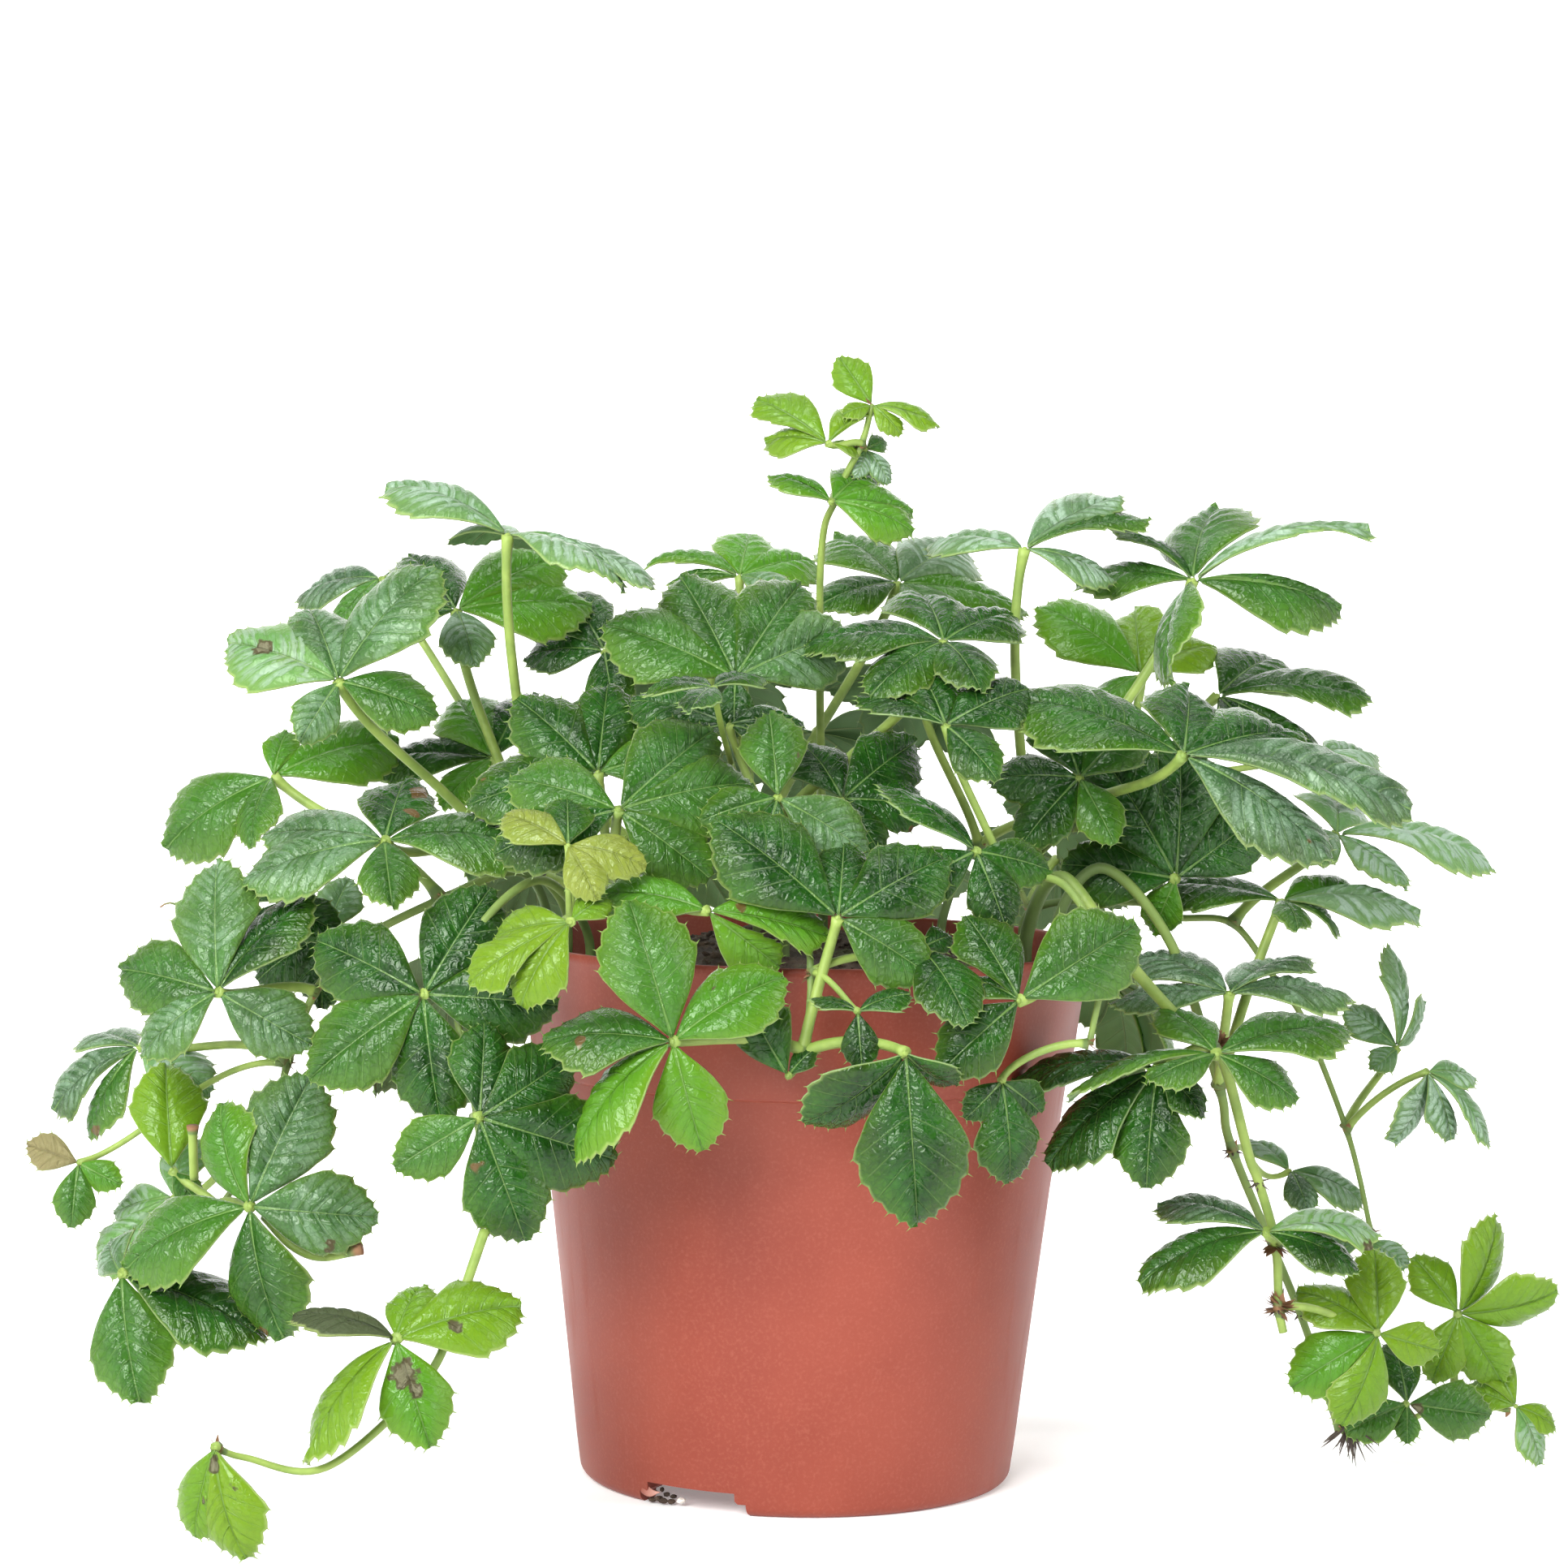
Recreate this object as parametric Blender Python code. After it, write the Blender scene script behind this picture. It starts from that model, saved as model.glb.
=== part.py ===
"""A miniature grape ivy in a nursery pot: pot, soil, trailing shoots and young lime shoots.

Built in metres, +Z up, with the origin at the middle of the pot's base on the ground. The leaf and
stem places are lists chosen by hand, in millimetres, and every leaf is drawn by the same rule.
"""
import math
import random

import bmesh
import bpy
from mathutils import Quaternion, Vector

MM = 0.001

# Pot, a round nursery pot twelve centimetres across the rim
POT_HEIGHT = 112.0
RIM_RADIUS = 60.3
RIM_FLARE = 1.3
RIM_ROUND = 1.2
COLLAR_HEIGHT = 27.0
COLLAR_STEP = 0.7
BASE_RADIUS = 43.8
BASE_FLARE = 1.2
WALL = 1.3
FOOT_HEIGHT = 5.0
FOOT_WIDTH = 5.0
FLOOR = 1.6
FLOOR_FILLET = 1.4
POT_SIDES = 40
DRAIN_COUNT = 2
DRAIN_WIDTH = 24.5
DRAIN_LENGTH = 15.0
DRAIN_HEIGHT = 4.7
DRAIN_REACH = 41.5
FIRST_DRAIN = 241.5
WALL_SLOPE = (RIM_RADIUS - RIM_FLARE - BASE_RADIUS) / POT_HEIGHT

# Soil, a low mound with gentle lumps
SOIL_GAP = 0.3
SOIL_INSET = 0.45
SOIL_EDGE = 103.0
SOIL_CROWN = 113.0
SOIL_RADIUS = 56.0
SOIL_RINGS = (46.0, 33.0, 18.0)
SOIL_SIDES = 22
LUMP_HEIGHT = 0.9
HOLE_DEPTH = 9.0
HOLE_SPARE = 1.55
HOLE_SIDES = 5

# Stems and leaf stalks
STEM_RADIUS = 0.95
STEM_RADII = {
    "shoot_right": 1.35, "shoot_right_far": 1.1, "shoot_right_thin": 0.8, "young_right": 0.8,
}
STEM_FOOT = 1.1
STEM_TAPER = 0.45
STEM_SIDES = 4
STEM_SUNK = 1.0
STALK_RADIUS = 0.75
STALK_FOOT = 1.15
STALK_LEAFLET = 19.0
STALK_RANGE = (0.9, 1.5)
STALK_STEPS = 3
STALK_SIDES = 3
STALK_SPREAD = 0.3
SHORTEST_STALK = 2.0

# A stalk leaves its stem upwards and comes up behind its leaf, as shares of each direction
LEAVE_UP = 0.55
ARRIVE_FACING = 0.75
ARRIVE_SPREAD = 0.5
ARRIVE_STRAIGHT = 0.5
BEND = 0.32

# Leaves
LEAF_THICKNESS = 0.65
LARGE_LEAFLET = 30.0
SMALL_LEAFLET = 23.6
RIB_SHARE = 0.52
HALF_WIDTH = 0.31
ARCH = 0.10
EDGE_DROP = 0.07
NOTCH_SHARE = 0.13
WIDE_GAP = 2.2
WIDE_NOTCH = 0.6
WIDEST_GAP = 2.6
GAP_SHARE = 0.9

# Half-widths along a leaflet, as shares of its length; the large ones show a tooth on each side
LARGE_SIDE = [(0.30, 0.215), (0.58, 0.315), (0.65, 0.285), (0.86, 0.195)]
MIDDLE_SIDE = [(0.32, 0.225), (0.62, 0.31), (0.86, 0.19)]
SMALL_SIDE = [(0.40, 0.265), (0.76, 0.25)]

GREEN = (0.040, 0.130, 0.034)
LIME = (0.230, 0.420, 0.050)
TERRACOTTA = (0.460, 0.105, 0.060)
PEAT = (0.050, 0.032, 0.022)
LEAF_ROUGHNESS = 0.42
POT_ROUGHNESS = 0.38
SOIL_ROUGHNESS = 0.95

# Each shoot's stem, from the soil outwards
STEMS = {
    "shoot_left_far": [(-53, -8, 116), (-59, -12, 126), (-74, -22, 121), (-91, -26, 112),
        (-98, -36, 103), (-103, -38, 89), (-107, -40, 74), (-116, -42, 60), (-124, -44, 47)],
    "shoot_left_front": [(-44, -27, 115), (-52, -44, 127), (-62, -56, 121), (-68, -60, 107),
        (-63, -66, 82), (-60, -74, 64)],
    "young_left": [(-60.7, -74.7, 62.1), (-65, -82, 49), (-71, -86, 35), (-89, -90, 19),
        (-104, -92, 21), (-109, -94, 23)],
    "shoot_left_crown": [(-50, 8, 115), (-56, 5, 124), (-64, -4, 128)],
    "shoot_front_left": [(-38, -30, 115), (-39, -44, 126), (-36, -60, 125), (-38, -70, 111)],
    "young_front": [(-38, -18, 117), (-44, -48, 129), (-46, -68, 121)],
    "shoot_front_middle": [(-4, -26, 116), (-3, -40, 127), (-1, -58, 126), (1, -68, 112),
        (0, -72, 97)],
    "shoot_front_right": [(34, -26, 116), (40, -40, 127), (50, -54, 129), (57, -66, 116),
        (55, -68, 99)],
    "shoot_middle": [(-10, 6, 115), (-11, 4, 128)],
    "young_top": [(4, 20, 115), (2, 8, 187), (5, 2, 204), (10, 0, 215), (12, 0, 223)],
    "shoot_right_crown": [(43, 2, 117), (46, 0, 127), (54, -5, 137)],
    "shoot_right": [(45, -26, 117), (51, -38, 129), (63, -46, 114), (74, -40, 102), (82, -38, 95),
        (85, -36, 90), (90, -34, 73), (92, -34, 68), (96, -32, 55), (97, -32, 42), (98, -32, 37)],
    "shoot_right_far": [(52, -12, 118), (61, -14, 129), (75, -14, 114), (86, -12, 84),
        (89, -12, 71), (104, -10, 37), (113, -8, 12)],
    "shoot_right_thin": [(48, 18, 117), (70, 10, 120), (78, 10, 117), (90, 10, 116),
        (99, 10, 105), (105, 10, 97), (110, 10, 86), (115, 8, 73), (118, 8, 63), (121, 10, 51)],
    "young_right": [(112.9, -7.2, 14.7), (127, 6, 11), (139, 8, 15), (151, 6, 14)],
    "shoot_back_left": [(-30, 28, 115), (-38, 44, 128), (-48, 62, 114), (-52, 72, 90)],
    "shoot_back_middle": [(0, 34, 115), (1, 50, 129), (3, 70, 116), (4, 78, 90)],
    "shoot_back_right": [(30, 28, 115), (38, 46, 128), (50, 62, 114), (54, 72, 90)],
}

# Each leaf: shoot, stem point it grows from, hub, the way it faces (turn, rise), and its leaflet
# tips measured from the hub, each with its leaflet's roll in degrees where it has one
LEAVES = [
    ("shoot_left_far", 4, (-116, -47, 104), (-12, 20),
     [(-2, 12, 25), (18, 9, 19, -35), (19, -2, -10), (-15, 0, -13, 10), (-21, 11, 3)]),
    ("shoot_left_far", 7, (-108, -57, 63), (-8, 12),
     [(11, 10, 25), (25, 2, -2), (7, 0, -26, 20), (-25, 6, -14, 28), (-7, 10, 19, -30)]),
    ("shoot_left_far", 8, (-134, -50, 48), (-15, 30),
     [(5, -8, -24), (29, -3, -12, -35), (-4, 16, 4, -30)]),
    ("shoot_left_far", 7, (-126, -38, 67), (0, 15), [(-3, 11, 20), (5, 3, -7)]),
    ("shoot_left_far", 6, (-128, -22, 59), (-20, 30), [(-15, 2, -16), (-13, 7, -5), (2, 11, 11)]),
    ("shoot_left_far", 5, (-136, -17, 89), (-40, 30),
     [(-18, 4, -14, 2), (-10, 1, -19), (16, -9, -8, -38), (-13, 18, -1, 40)]),
    ("shoot_left_far", 5, (-147, -24, 66), (-20, 20),
     [(-1, -2, -13, -28), (9, -2, -4), (-11, 3, 3)]),
    ("shoot_left_far", 3, (-107, -24, 120), (-10, 25), [(-7, -1, -12), (-6, 9, 3), (13, -2, -6)]),
    ("shoot_left_far", 3, (-99, -8, 112), (-5, 25),
     [(-14, 1, -10), (0, -4, -15), (9, -2, -6), (4, 9, 11)]),
    ("shoot_left_far", 2, (-111, 0, 144), (-35, 40),
     [(-23, 6, -16, -20), (2, 8, 9, 20), (-3, -11, -14), (25, 12, 7, 8)]),
    ("shoot_left_front", 3, (-74, -63, 106), (-5, 18),
     [(-22, 11, 9), (12, 12, 20), (26, 3, -2), (4, -2, -25), (-22, 1, -17)]),
    ("shoot_left_front", 4, (-62, -76, 84), (10, 12),
     [(0, 10, 17), (17, 10, 11), (26, 9, -9), (9, 2, -24), (-16, 0, -10)]),
    ("young_left", 1, (-76, -92, 44), (5, 20),
     [(4, 13, 8, -30), (23, 9, 5, -28), (7, -2, -20), (-16, -4, -23, 50), (-20, 5, 3, 55)]),
    ("young_left", 5, (-109, -97, 24), (-5, 12), [(6, 0, -21, 18), (-4, 3, -18, 18)]),
    ("shoot_left_crown", 2, (-84, -40, 134), (0, 48),
     [(2, 21, 11), (32, 4, -3, -20), (3, -14, -12), (-28, 0, -9), (-25, 9, 0)]),
    ("shoot_left_crown", 2, (-95, -26, 165), (0, 38),
     [(-8, 18, 14), (19, 8, 23, -22), (20, 0, -7), (-7, -6, -12, -20), (-24, 12, 7)]),
    ("shoot_left_crown", 1, (-62, -15, 195), (5, 75),
     [(-26, 10, 9, -2), (-9, 22, -2), (12, 19, -5, -15), (24, -12, -10, -10),
      (30, -10, -10, -15)]),
    ("shoot_left_crown", 1, (-93, 41, 185), (-30, 50),
     [(-19, 13, -5), (-10, -7, -13), (16, -1, 2)]),
    ("shoot_left_crown", 1, (-74, 7, 179), (10, 50),
     [(-12, 20, 11), (21, 16, 11), (28, 9, 1), (5, -13, -11), (-18, 0, -4)]),
    ("shoot_left_crown", 2, (-66, 9, 148), (-10, 45),
     [(-27, 8, -3, 15), (-10, -8, -10), (7, 19, 13), (-9, 20, 11)]),
    ("shoot_front_left", 1, (-37, -56, 142), (5, 30),
     [(-22, 8, 5), (18, 18, 15), (26, 12, 5), (18, 0, -13), (-24, -1, -9)]),
    ("shoot_front_left", 1, (-42, -35, 148), (0, 30),
     [(-17, 10, 14), (1, 16, 17), (16, 7, 3), (-26, -1, -7)]),
    ("shoot_front_left", 2, (-19, -71, 124), (15, 35),
     [(-21, 6, 2, 12), (14, 4, -11, 30), (23, 5, -5)]),
    ("young_front", 2, (-46, -70, 136), (0, 45),
     [(-13, 8, 5), (15, 1, -4), (6, -6, -10), (-1, 13, 8)]),
    ("young_front", 2, (-45, -78, 122), (-15, 30),
     [(-15, 7, -4), (-19, -1, -12), (-9, -2, -16), (7, 7, 4)]),
    ("shoot_front_middle", 4, (-25, -82, 100), (0, 8),
     [(-9, 8, 26), (21, 6, 12, -30), (6, 2, -21), (-18, 0, -23, 50), (-25, 6, -1, 40)]),
    ("shoot_front_middle", 1, (-6, -56, 145), (8, 25),
     [(-2, 12, 16, -8), (18, 2, -11), (-4, -4, -16), (-15, 0, -5)]),
    ("shoot_front_middle", 1, (7, -27, 143), (5, 30),
     [(-8, 13, 10), (15, 14, 11), (18, 5, -2), (8, -3, -11)]),
    ("shoot_front_middle", 1, (-16, -35, 158), (-5, 50),
     [(-20, 10, 4), (-16, -1, -7), (13, 0, -5), (15, 7, 0)]),
    ("shoot_front_middle", 4, (6, -71, 123), (0, 28),
     [(-24, 8, 18), (1, 14, 13), (21, 12, 11), (18, 0, -11)]),
    ("shoot_front_middle", 3, (10, -79, 106), (0, 20),
     [(1, -2, -11), (-9, 3, 2, 48), (10, 4, 3, -48)]),
    ("shoot_front_middle", 4, (19, -85, 99), (5, 6),
     [(-19, 3, -14, -45), (3, 2, -33), (10, 8, -7, 50)]),
    ("shoot_front_middle", 3, (22, -66, 117), (20, 25), [(9, -14, -13), (6, 6, 2), (-5, -6, -3)]),
    ("shoot_front_middle", 4, (-3, -75, 93), (-25, 15), [(-9, 2, 16), (5, 2, 5)]),
    ("shoot_front_right", 3, (41, -73, 108), (5, 22),
     [(-10, 11, 15), (23, 10, 14), (-15, -2, -14), (-11, 5, 3, 30)]),
    ("shoot_front_right", 4, (38, -70, 92), (20, 8), [(2, 2, -20), (8, 8, -7), (-7, -3, -7)]),
    ("shoot_front_right", 1, (33, -54, 135), (5, 30),
     [(-19, 8, 12, 38), (15, 5, -4), (6, -4, -15), (-14, -2, -9)]),
    ("shoot_front_right", 1, (27, -43, 159), (-5, 45),
     [(-17, 12, 4, 22), (17, 12, 7), (10, -8, -10), (-5, 16, 10)]),
    ("shoot_middle", 1, (-15, -22, 167), (0, 30),
     [(-27, 8, 10), (-12, 17, 20), (13, 18, 19), (23, 12, 9), (0, -6, -12)]),
    ("shoot_middle", 1, (-19, -50, 166), (-10, 72), [(-13, 12, -1), (-4, -12, -4), (9, 12, 1)]),
    ("shoot_middle", 1, (-15, 16, 187), (0, 60),
     [(2, 20, 9), (16, 15, 3), (11, -7, -4), (-15, 6, -2), (-20, 10, 2)]),
    ("shoot_middle", 1, (19, 30, 186), (15, 62),
     [(-14, 25, 9), (28, 10, -6), (12, -14, -10), (15, 25, 7), (-17, -10, -5)]),
    ("shoot_middle", 1, (27, -23, 175), (0, 66),
     [(-28, 4, -2), (-15, -13, -11), (7, -16, -9), (15, 20, 5), (-5, 27, 8)]),
    ("shoot_middle", 1, (-43, 10, 171), (-5, 40),
     [(-17, 6, -2), (-9, 16, 11), (14, 6, 0), (3, -9, -13)]),
    ("young_top", 3, (3, -5, 215), (-10, 35),
     [(-15, 9, 9), (9, 8, 8), (6, 8, -1), (-13, 7, 0, 12)]),
    ("young_top", 2, (4, -4, 203), (10, 45),
     [(-13, 6, 5, 10), (17, 7, -2), (17, 2, -6), (8, 14, 6)]),
    ("young_top", 4, (12, 0, 223), (10, 40),
     [(-7, 4, 10, -28), (14, 1, -4, -20), (6, -2, -6), (-6, -3, -2)]),
    ("young_top", 3, (11, 4, 214), (30, 30), [(5, 0, -7), (4, 5, 2), (-2, -3, -6)]),
    ("shoot_right_crown", 1, (44, -4, 194), (5, 62),
     [(-19, 16, 0), (20, 12, 11), (26, 7, 6), (19, 5, -7)]),
    ("shoot_right_crown", 1, (72, 38, 167), (-20, 50),
     [(-22, 9, 14), (0, 21, 14), (17, 8, 6), (-12, -4, -8)]),
    ("shoot_right_crown", 1, (80, 8, 188), (5, 55),
     [(8, 28, 15, -38), (37, 1, 11, -32), (32, 7, -6, 5), (-6, -22, -20, 58), (-24, 8, -1, 10),
      (-16, 12, 10, 22)]),
    ("shoot_right_crown", 2, (88, 31, 163), (20, 55),
     [(15, 24, 7), (33, 0, 0, -12), (23, -2, -14), (9, -12, -13)]),
    ("shoot_right_crown", 2, (109, 19, 152), (40, 45),
     [(13, 15, -2, -20), (12, 1, -10, 12), (4, -3, -10)]),
    ("shoot_right_crown", 2, (74, -44, 154), (8, 48),
     [(-33, 13, 10, 10), (3, 25, 12), (25, 19, 4), (45, -2, -10, -22), (29, -6, -20, -8)]),
    ("shoot_right_crown", 2, (76, -12, 127), (0, 12),
     [(-23, 6, 2), (-17, 8, 27), (1, 10, 28), (18, 8, 13), (-4, 6, -12)]),
    ("shoot_right_crown", 1, (55, -24, 148), (0, 30),
     [(-18, 5, -1), (-6, 14, 15), (13, 12, 12), (7, -5, -13), (-12, -4, -14)]),
    ("shoot_right", 4, (81, -54, 96), (8, 45),
     [(-9, 16, 7), (27, 10, 4, -20), (16, 0, -9, -5), (-14, -6, -5), (-29, 0, -9, 35)]),
    ("shoot_right", 4, (70, -47, 92), (-12, 25),
     [(-21, 2, -20, 28), (-2, -5, -23, -5), (9, -4, -9, -28), (-28, 9, -4, 45)]),
    ("shoot_right", 8, (93, -42, 59), (-5, 45),
     [(-25, 0, -11, 22), (-21, 11, 3, 28), (23, 4, -1, -22), (18, -4, -7, -18)]),
    ("shoot_right", 9, (118, -26, 36), (-5, 15),
     [(0, 9, 16), (-16, 7, 7, 35), (-17, 3, -12), (-7, 0, -19, -30), (13, 3, -4)]),
    ("shoot_right_far", 3, (99, -3, 122), (5, 60),
     [(-26, 10, 1, 8), (18, 14, 1), (29, 2, -3, -18), (13, 10, -7), (2, -12, -5, -22)]),
    ("shoot_right_far", 3, (86, -27, 105), (10, 62),
     [(-19, 20, 5), (-24, 1, -3, 12), (16, 22, 5, -25), (26, 10, -2, -18)]),
    ("shoot_right_far", 4, (104, 14, 63), (20, 50), [(-8, 10, 5), (3, -8, -8), (16, 2, -7, -15)]),
    ("shoot_right_far", 6, (127, -8, 18), (5, 30),
     [(-13, -2, -6), (-2, 10, 11), (18, 4, -3, 18), (0, -2, -8, 10)]),
    ("shoot_right_thin", 3, (112, 12, 135), (20, 60),
     [(1, 24, 6), (33, -1, -7, -18), (13, -12, -10, -12), (-12, -16, -4)]),
    ("shoot_right_thin", 7, (127, 20, 89), (20, 25),
     [(-1, 8, 21, 40), (7, 11, 9, 58), (-11, 4, 8, -2), (-6, -6, -4)]),
    ("shoot_right_thin", 7, (131, 3, 86), (20, 28),
     [(11, 7, -2, -25), (13, -3, -15, -35), (5, -2, -14, -20), (-8, -6, -14, -60)]),
    ("shoot_right_thin", 9, (121, 16, 48), (-10, 40),
     [(-13, 3, -3), (-4, 11, 3, 30), (9, -2, -5)]),
    ("young_right", 2, (139, 4, 35), (0, 10),
     [(-9, 5, 11), (8, 5, 20, 35), (21, 1, 5, 40), (10, 2, -15), (-5, 1, -15)]),
    ("young_right", 3, (152, 6, 15), (15, 25),
     [(-8, 5, 12), (-11, 2, 3), (5, -2, -12, -20), (9, 2, -5, -15)]),
]

# The side of the plant away from the photograph: shoot, stem point, and the leaf's place as the
# angle about the pot, distance from its axis and height
BACK_LEAVES = [
    ("shoot_back_right", 1, 58, 46, 165), ("shoot_back_left", 1, 118, 44, 168),
    ("shoot_back_right", 1, 34, 74, 140), ("shoot_back_middle", 1, 88, 69, 152),
    ("shoot_back_left", 1, 146, 72, 143), ("shoot_back_right", 2, 52, 92, 124),
    ("shoot_back_middle", 2, 78, 84, 122), ("shoot_back_left", 2, 109, 88, 126),
    ("shoot_back_left", 2, 132, 90, 120), ("shoot_back_right", 3, 42, 92, 98),
    ("shoot_back_middle", 3, 90, 96, 94), ("shoot_back_left", 3, 146, 94, 94),
    ("shoot_back_right", 3, 64, 96, 78), ("shoot_back_left", 3, 116, 98, 76),
]

# Leaves of the far side: their size, the leaflets' angles and sizes, and how far each rule may stray
BACK_SIZE = 28.0
FAN = [(-28, 1.0), (30, 0.97), (88, 0.84), (-86, 0.84)]
FAN_SWING = 25.0
FAN_SIZES = (0.9, 1.05)
FAN_DROOP = 0.24
BACK_SEED = 12
BACK_RISE = 22.0
RISE_PER_MM = 0.32
RISE_FROM = 72.0
RISE_STRAY = 6.0
TURN_STRAY = 14.0


def clear_scene():
    """Remove everything a new file starts with."""
    for item in list(bpy.data.objects):
        bpy.data.objects.remove(item, do_unlink=True)


def finish(item, colour, roughness):
    """Give a node a plain material of its own."""
    material = bpy.data.materials.new(item.name)
    material.use_nodes = True
    shader = material.node_tree.nodes["Principled BSDF"]
    shader.inputs["Base Color"].default_value = (*colour, 1.0)
    shader.inputs["Roughness"].default_value = roughness
    shader.inputs["Metallic"].default_value = 0.0
    material.diffuse_color = (*colour, 1.0)
    item.data.materials.clear()
    item.data.materials.append(material)


def mesh_object(name, points, faces):
    """An object from points in millimetres."""
    mesh = bpy.data.meshes.new(name)
    mesh.from_pydata([tuple(value * MM for value in point) for point in points], [], faces)
    mesh.validate()
    item = bpy.data.objects.new(name, mesh)
    bpy.context.scene.collection.objects.link(item)
    return item


def facing_vector(turn, rise):
    """The way a leaf's upper face looks: turn 0 looks along -Y, rise 90 looks up."""
    turn, rise = math.radians(turn), math.radians(rise)
    level = math.cos(rise)
    return Vector((level * math.sin(turn), -level * math.cos(turn), math.sin(rise)))


def around(facing, tip, start):
    """The angle of a leaflet about the way its leaf faces."""
    across = facing.cross(start)
    return math.atan2(tip.dot(across), tip.dot(start)) % math.tau


def leaflets_in_order(facing, tips):
    """Each leaflet's tip and its roll about its midrib, in order round the hub."""
    rolled = [(Vector(tip[:3]), math.radians(tip[3]) if len(tip) > 3 else 0.0) for tip in tips]
    first = rolled[0][0]
    start = (first - first.dot(facing) * facing).normalized()
    rolled.sort(key=lambda pair: around(facing, pair[0], start))
    angles = [around(facing, tip, start) for tip, _ in rolled]
    gaps = [(angle - angles[k - 1]) % math.tau or math.tau for k, angle in enumerate(angles)]
    return rolled, gaps


def leaf(hub, facing, tips, stalk):
    """Points and faces of one palmate leaf: a thin closed blade cut into leaflets, on its stalk."""
    hub = Vector(hub)
    leaflets, gaps = leaflets_in_order(facing, tips)
    count = len(leaflets)
    upper, lower, rows = [], [], []

    def add(place, normal):
        upper.append(place + normal * LEAF_THICKNESS / 2)
        lower.append(place - normal * LEAF_THICKNESS / 2)
        return len(upper) - 1

    centre = add(hub, facing)
    notches = []
    for k, (tip, _) in enumerate(leaflets):
        notches.append(add(notch_place(hub, facing, tip, leaflets[k - 1][0], gaps[k]), facing))
    for k, (tip, roll) in enumerate(leaflets):
        after = (k + 1) % count
        rib, ring = leaflet(hub, facing, tip, roll, (gaps[k], gaps[after]), add)
        rows.append((rib, [notches[k], *ring, notches[after]]))
    points, faces = closed_blade(upper, lower, rows, centre)
    if stalk:
        join_stalk(points, faces, centre + len(upper), facing, rows, stalk, stalk_radius(tips))
    return points, faces


def join_stalk(points, faces, centre, facing, rows, stalk, radius):
    """Open the blade's underside at the hub and run a three-sided stalk out of it."""
    under = len(points) // 2
    hub = points[centre]
    outer = [index + under for rib, ring in rows for index in (ring[0], rib)]
    faces[:] = [face for face in faces if centre not in face]
    start = points[outer[0]] - hub
    start = (start - start.dot(facing) * facing).normalized()
    rings = stalk_rings(hub, facing, start, stalk, radius)
    points[centre] = rings[0][0]
    numbers = [[centre, *range(len(points), len(points) + STALK_SIDES - 1)]]
    points += rings[0][1:]
    for ring in rings[1:]:
        numbers.append(list(range(len(points), len(points) + STALK_SIDES)))
        points += ring
    for here, after in zip(numbers, numbers[1:]):
        for k in range(STALK_SIDES):
            n = (k + 1) % STALK_SIDES
            faces.append((here[n], here[k], after[k], after[n]))
    faces.append(tuple(reversed(numbers[-1])))
    sew_underside(points, faces, hub, facing, start, outer, numbers[0])


def sew_underside(points, faces, hub, facing, start, outer, ring):
    """Fill between the opened underside's edge and the stalk's first ring."""
    turns = [around(facing, points[index] - hub, start) for index in outer]
    steps = [round(turn * STALK_SIDES / math.tau) for turn in turns[1:]]
    places = [0, *steps, STALK_SIDES]
    for k, index in enumerate(outer):
        after = outer[(k + 1) % len(outer)]
        faces.append((after, index, ring[places[k] % STALK_SIDES]))
        for place in range(places[k], places[k + 1]):
            faces.append((ring[place % STALK_SIDES], ring[(place + 1) % STALK_SIDES], after))


def stalk_rings(hub, facing, start, stalk, radius):
    """Rings of points down a stalk, from the leaf's hub to the stem."""
    rings = []
    for k, place in enumerate(stalk):
        ahead = stalk[min(k + 1, len(stalk) - 1)] - stalk[max(k - 1, 0)]
        axis = -facing if k == 0 else ahead.normalized()
        first = (start - start.dot(axis) * axis).normalized()
        second = first.cross(axis)
        size = radius if k < len(stalk) - 1 else radius * STALK_FOOT
        middle = hub if k == 0 else place
        ring = []
        for step in range(STALK_SIDES):
            angle = math.tau * step / STALK_SIDES
            ring.append(middle + (first * math.cos(angle) + second * math.sin(angle)) * size)
        rings.append(ring)
    return rings


def stalk_radius(tips):
    """A leaf stalk's radius, which grows with its leaf."""
    longest = max(Vector(tip[:3]).length for tip in tips)
    thin, thick = STALK_RANGE
    return STALK_RADIUS * min(thick, max(thin, longest / STALK_LEAFLET))


def notch_place(hub, facing, tip, before, gap):
    """Where the cut between a leaflet and the one before it ends, close to the hub."""
    length = (tip.length + before.length) / 2
    middle = (tip - tip.dot(facing) * facing).normalized()
    middle.rotate(Quaternion(facing, -gap / 2))
    return hub + middle * length * NOTCH_SHARE * (WIDE_NOTCH if gap > WIDE_GAP else 1.0)


def leaflet(hub, facing, tip, roll, gaps, add):
    """One leaflet's midrib point and its edge points, from the near side round to the far side."""
    length = tip.length
    along = tip / length
    normal = (facing - facing.dot(along) * along).normalized()
    normal.rotate(Quaternion(along, roll))
    across = normal.cross(along)
    side = SMALL_SIDE if length < SMALL_LEAFLET else MIDDLE_SIDE
    side = LARGE_SIDE if length > LARGE_LEAFLET else side
    rib = add(hub + along * length * RIB_SHARE + normal * length * ARCH, normal)

    def edge(share, width, gap, sign):
        width = min(width, share * math.tan(min(gap, WIDEST_GAP) / 2) * GAP_SHARE)
        lift = 4 * ARCH * share * (1 - share) - EDGE_DROP * (width / HALF_WIDTH) ** 2
        place = along * share + across * sign * width + normal * lift
        return add(hub + place * length, normal)

    first = [edge(share, width, gaps[0], -1) for share, width in side]
    end = add(hub + tip, normal)
    second = [edge(share, width, gaps[1], 1) for share, width in reversed(side)]
    return rib, [*first, end, *second]


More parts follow.
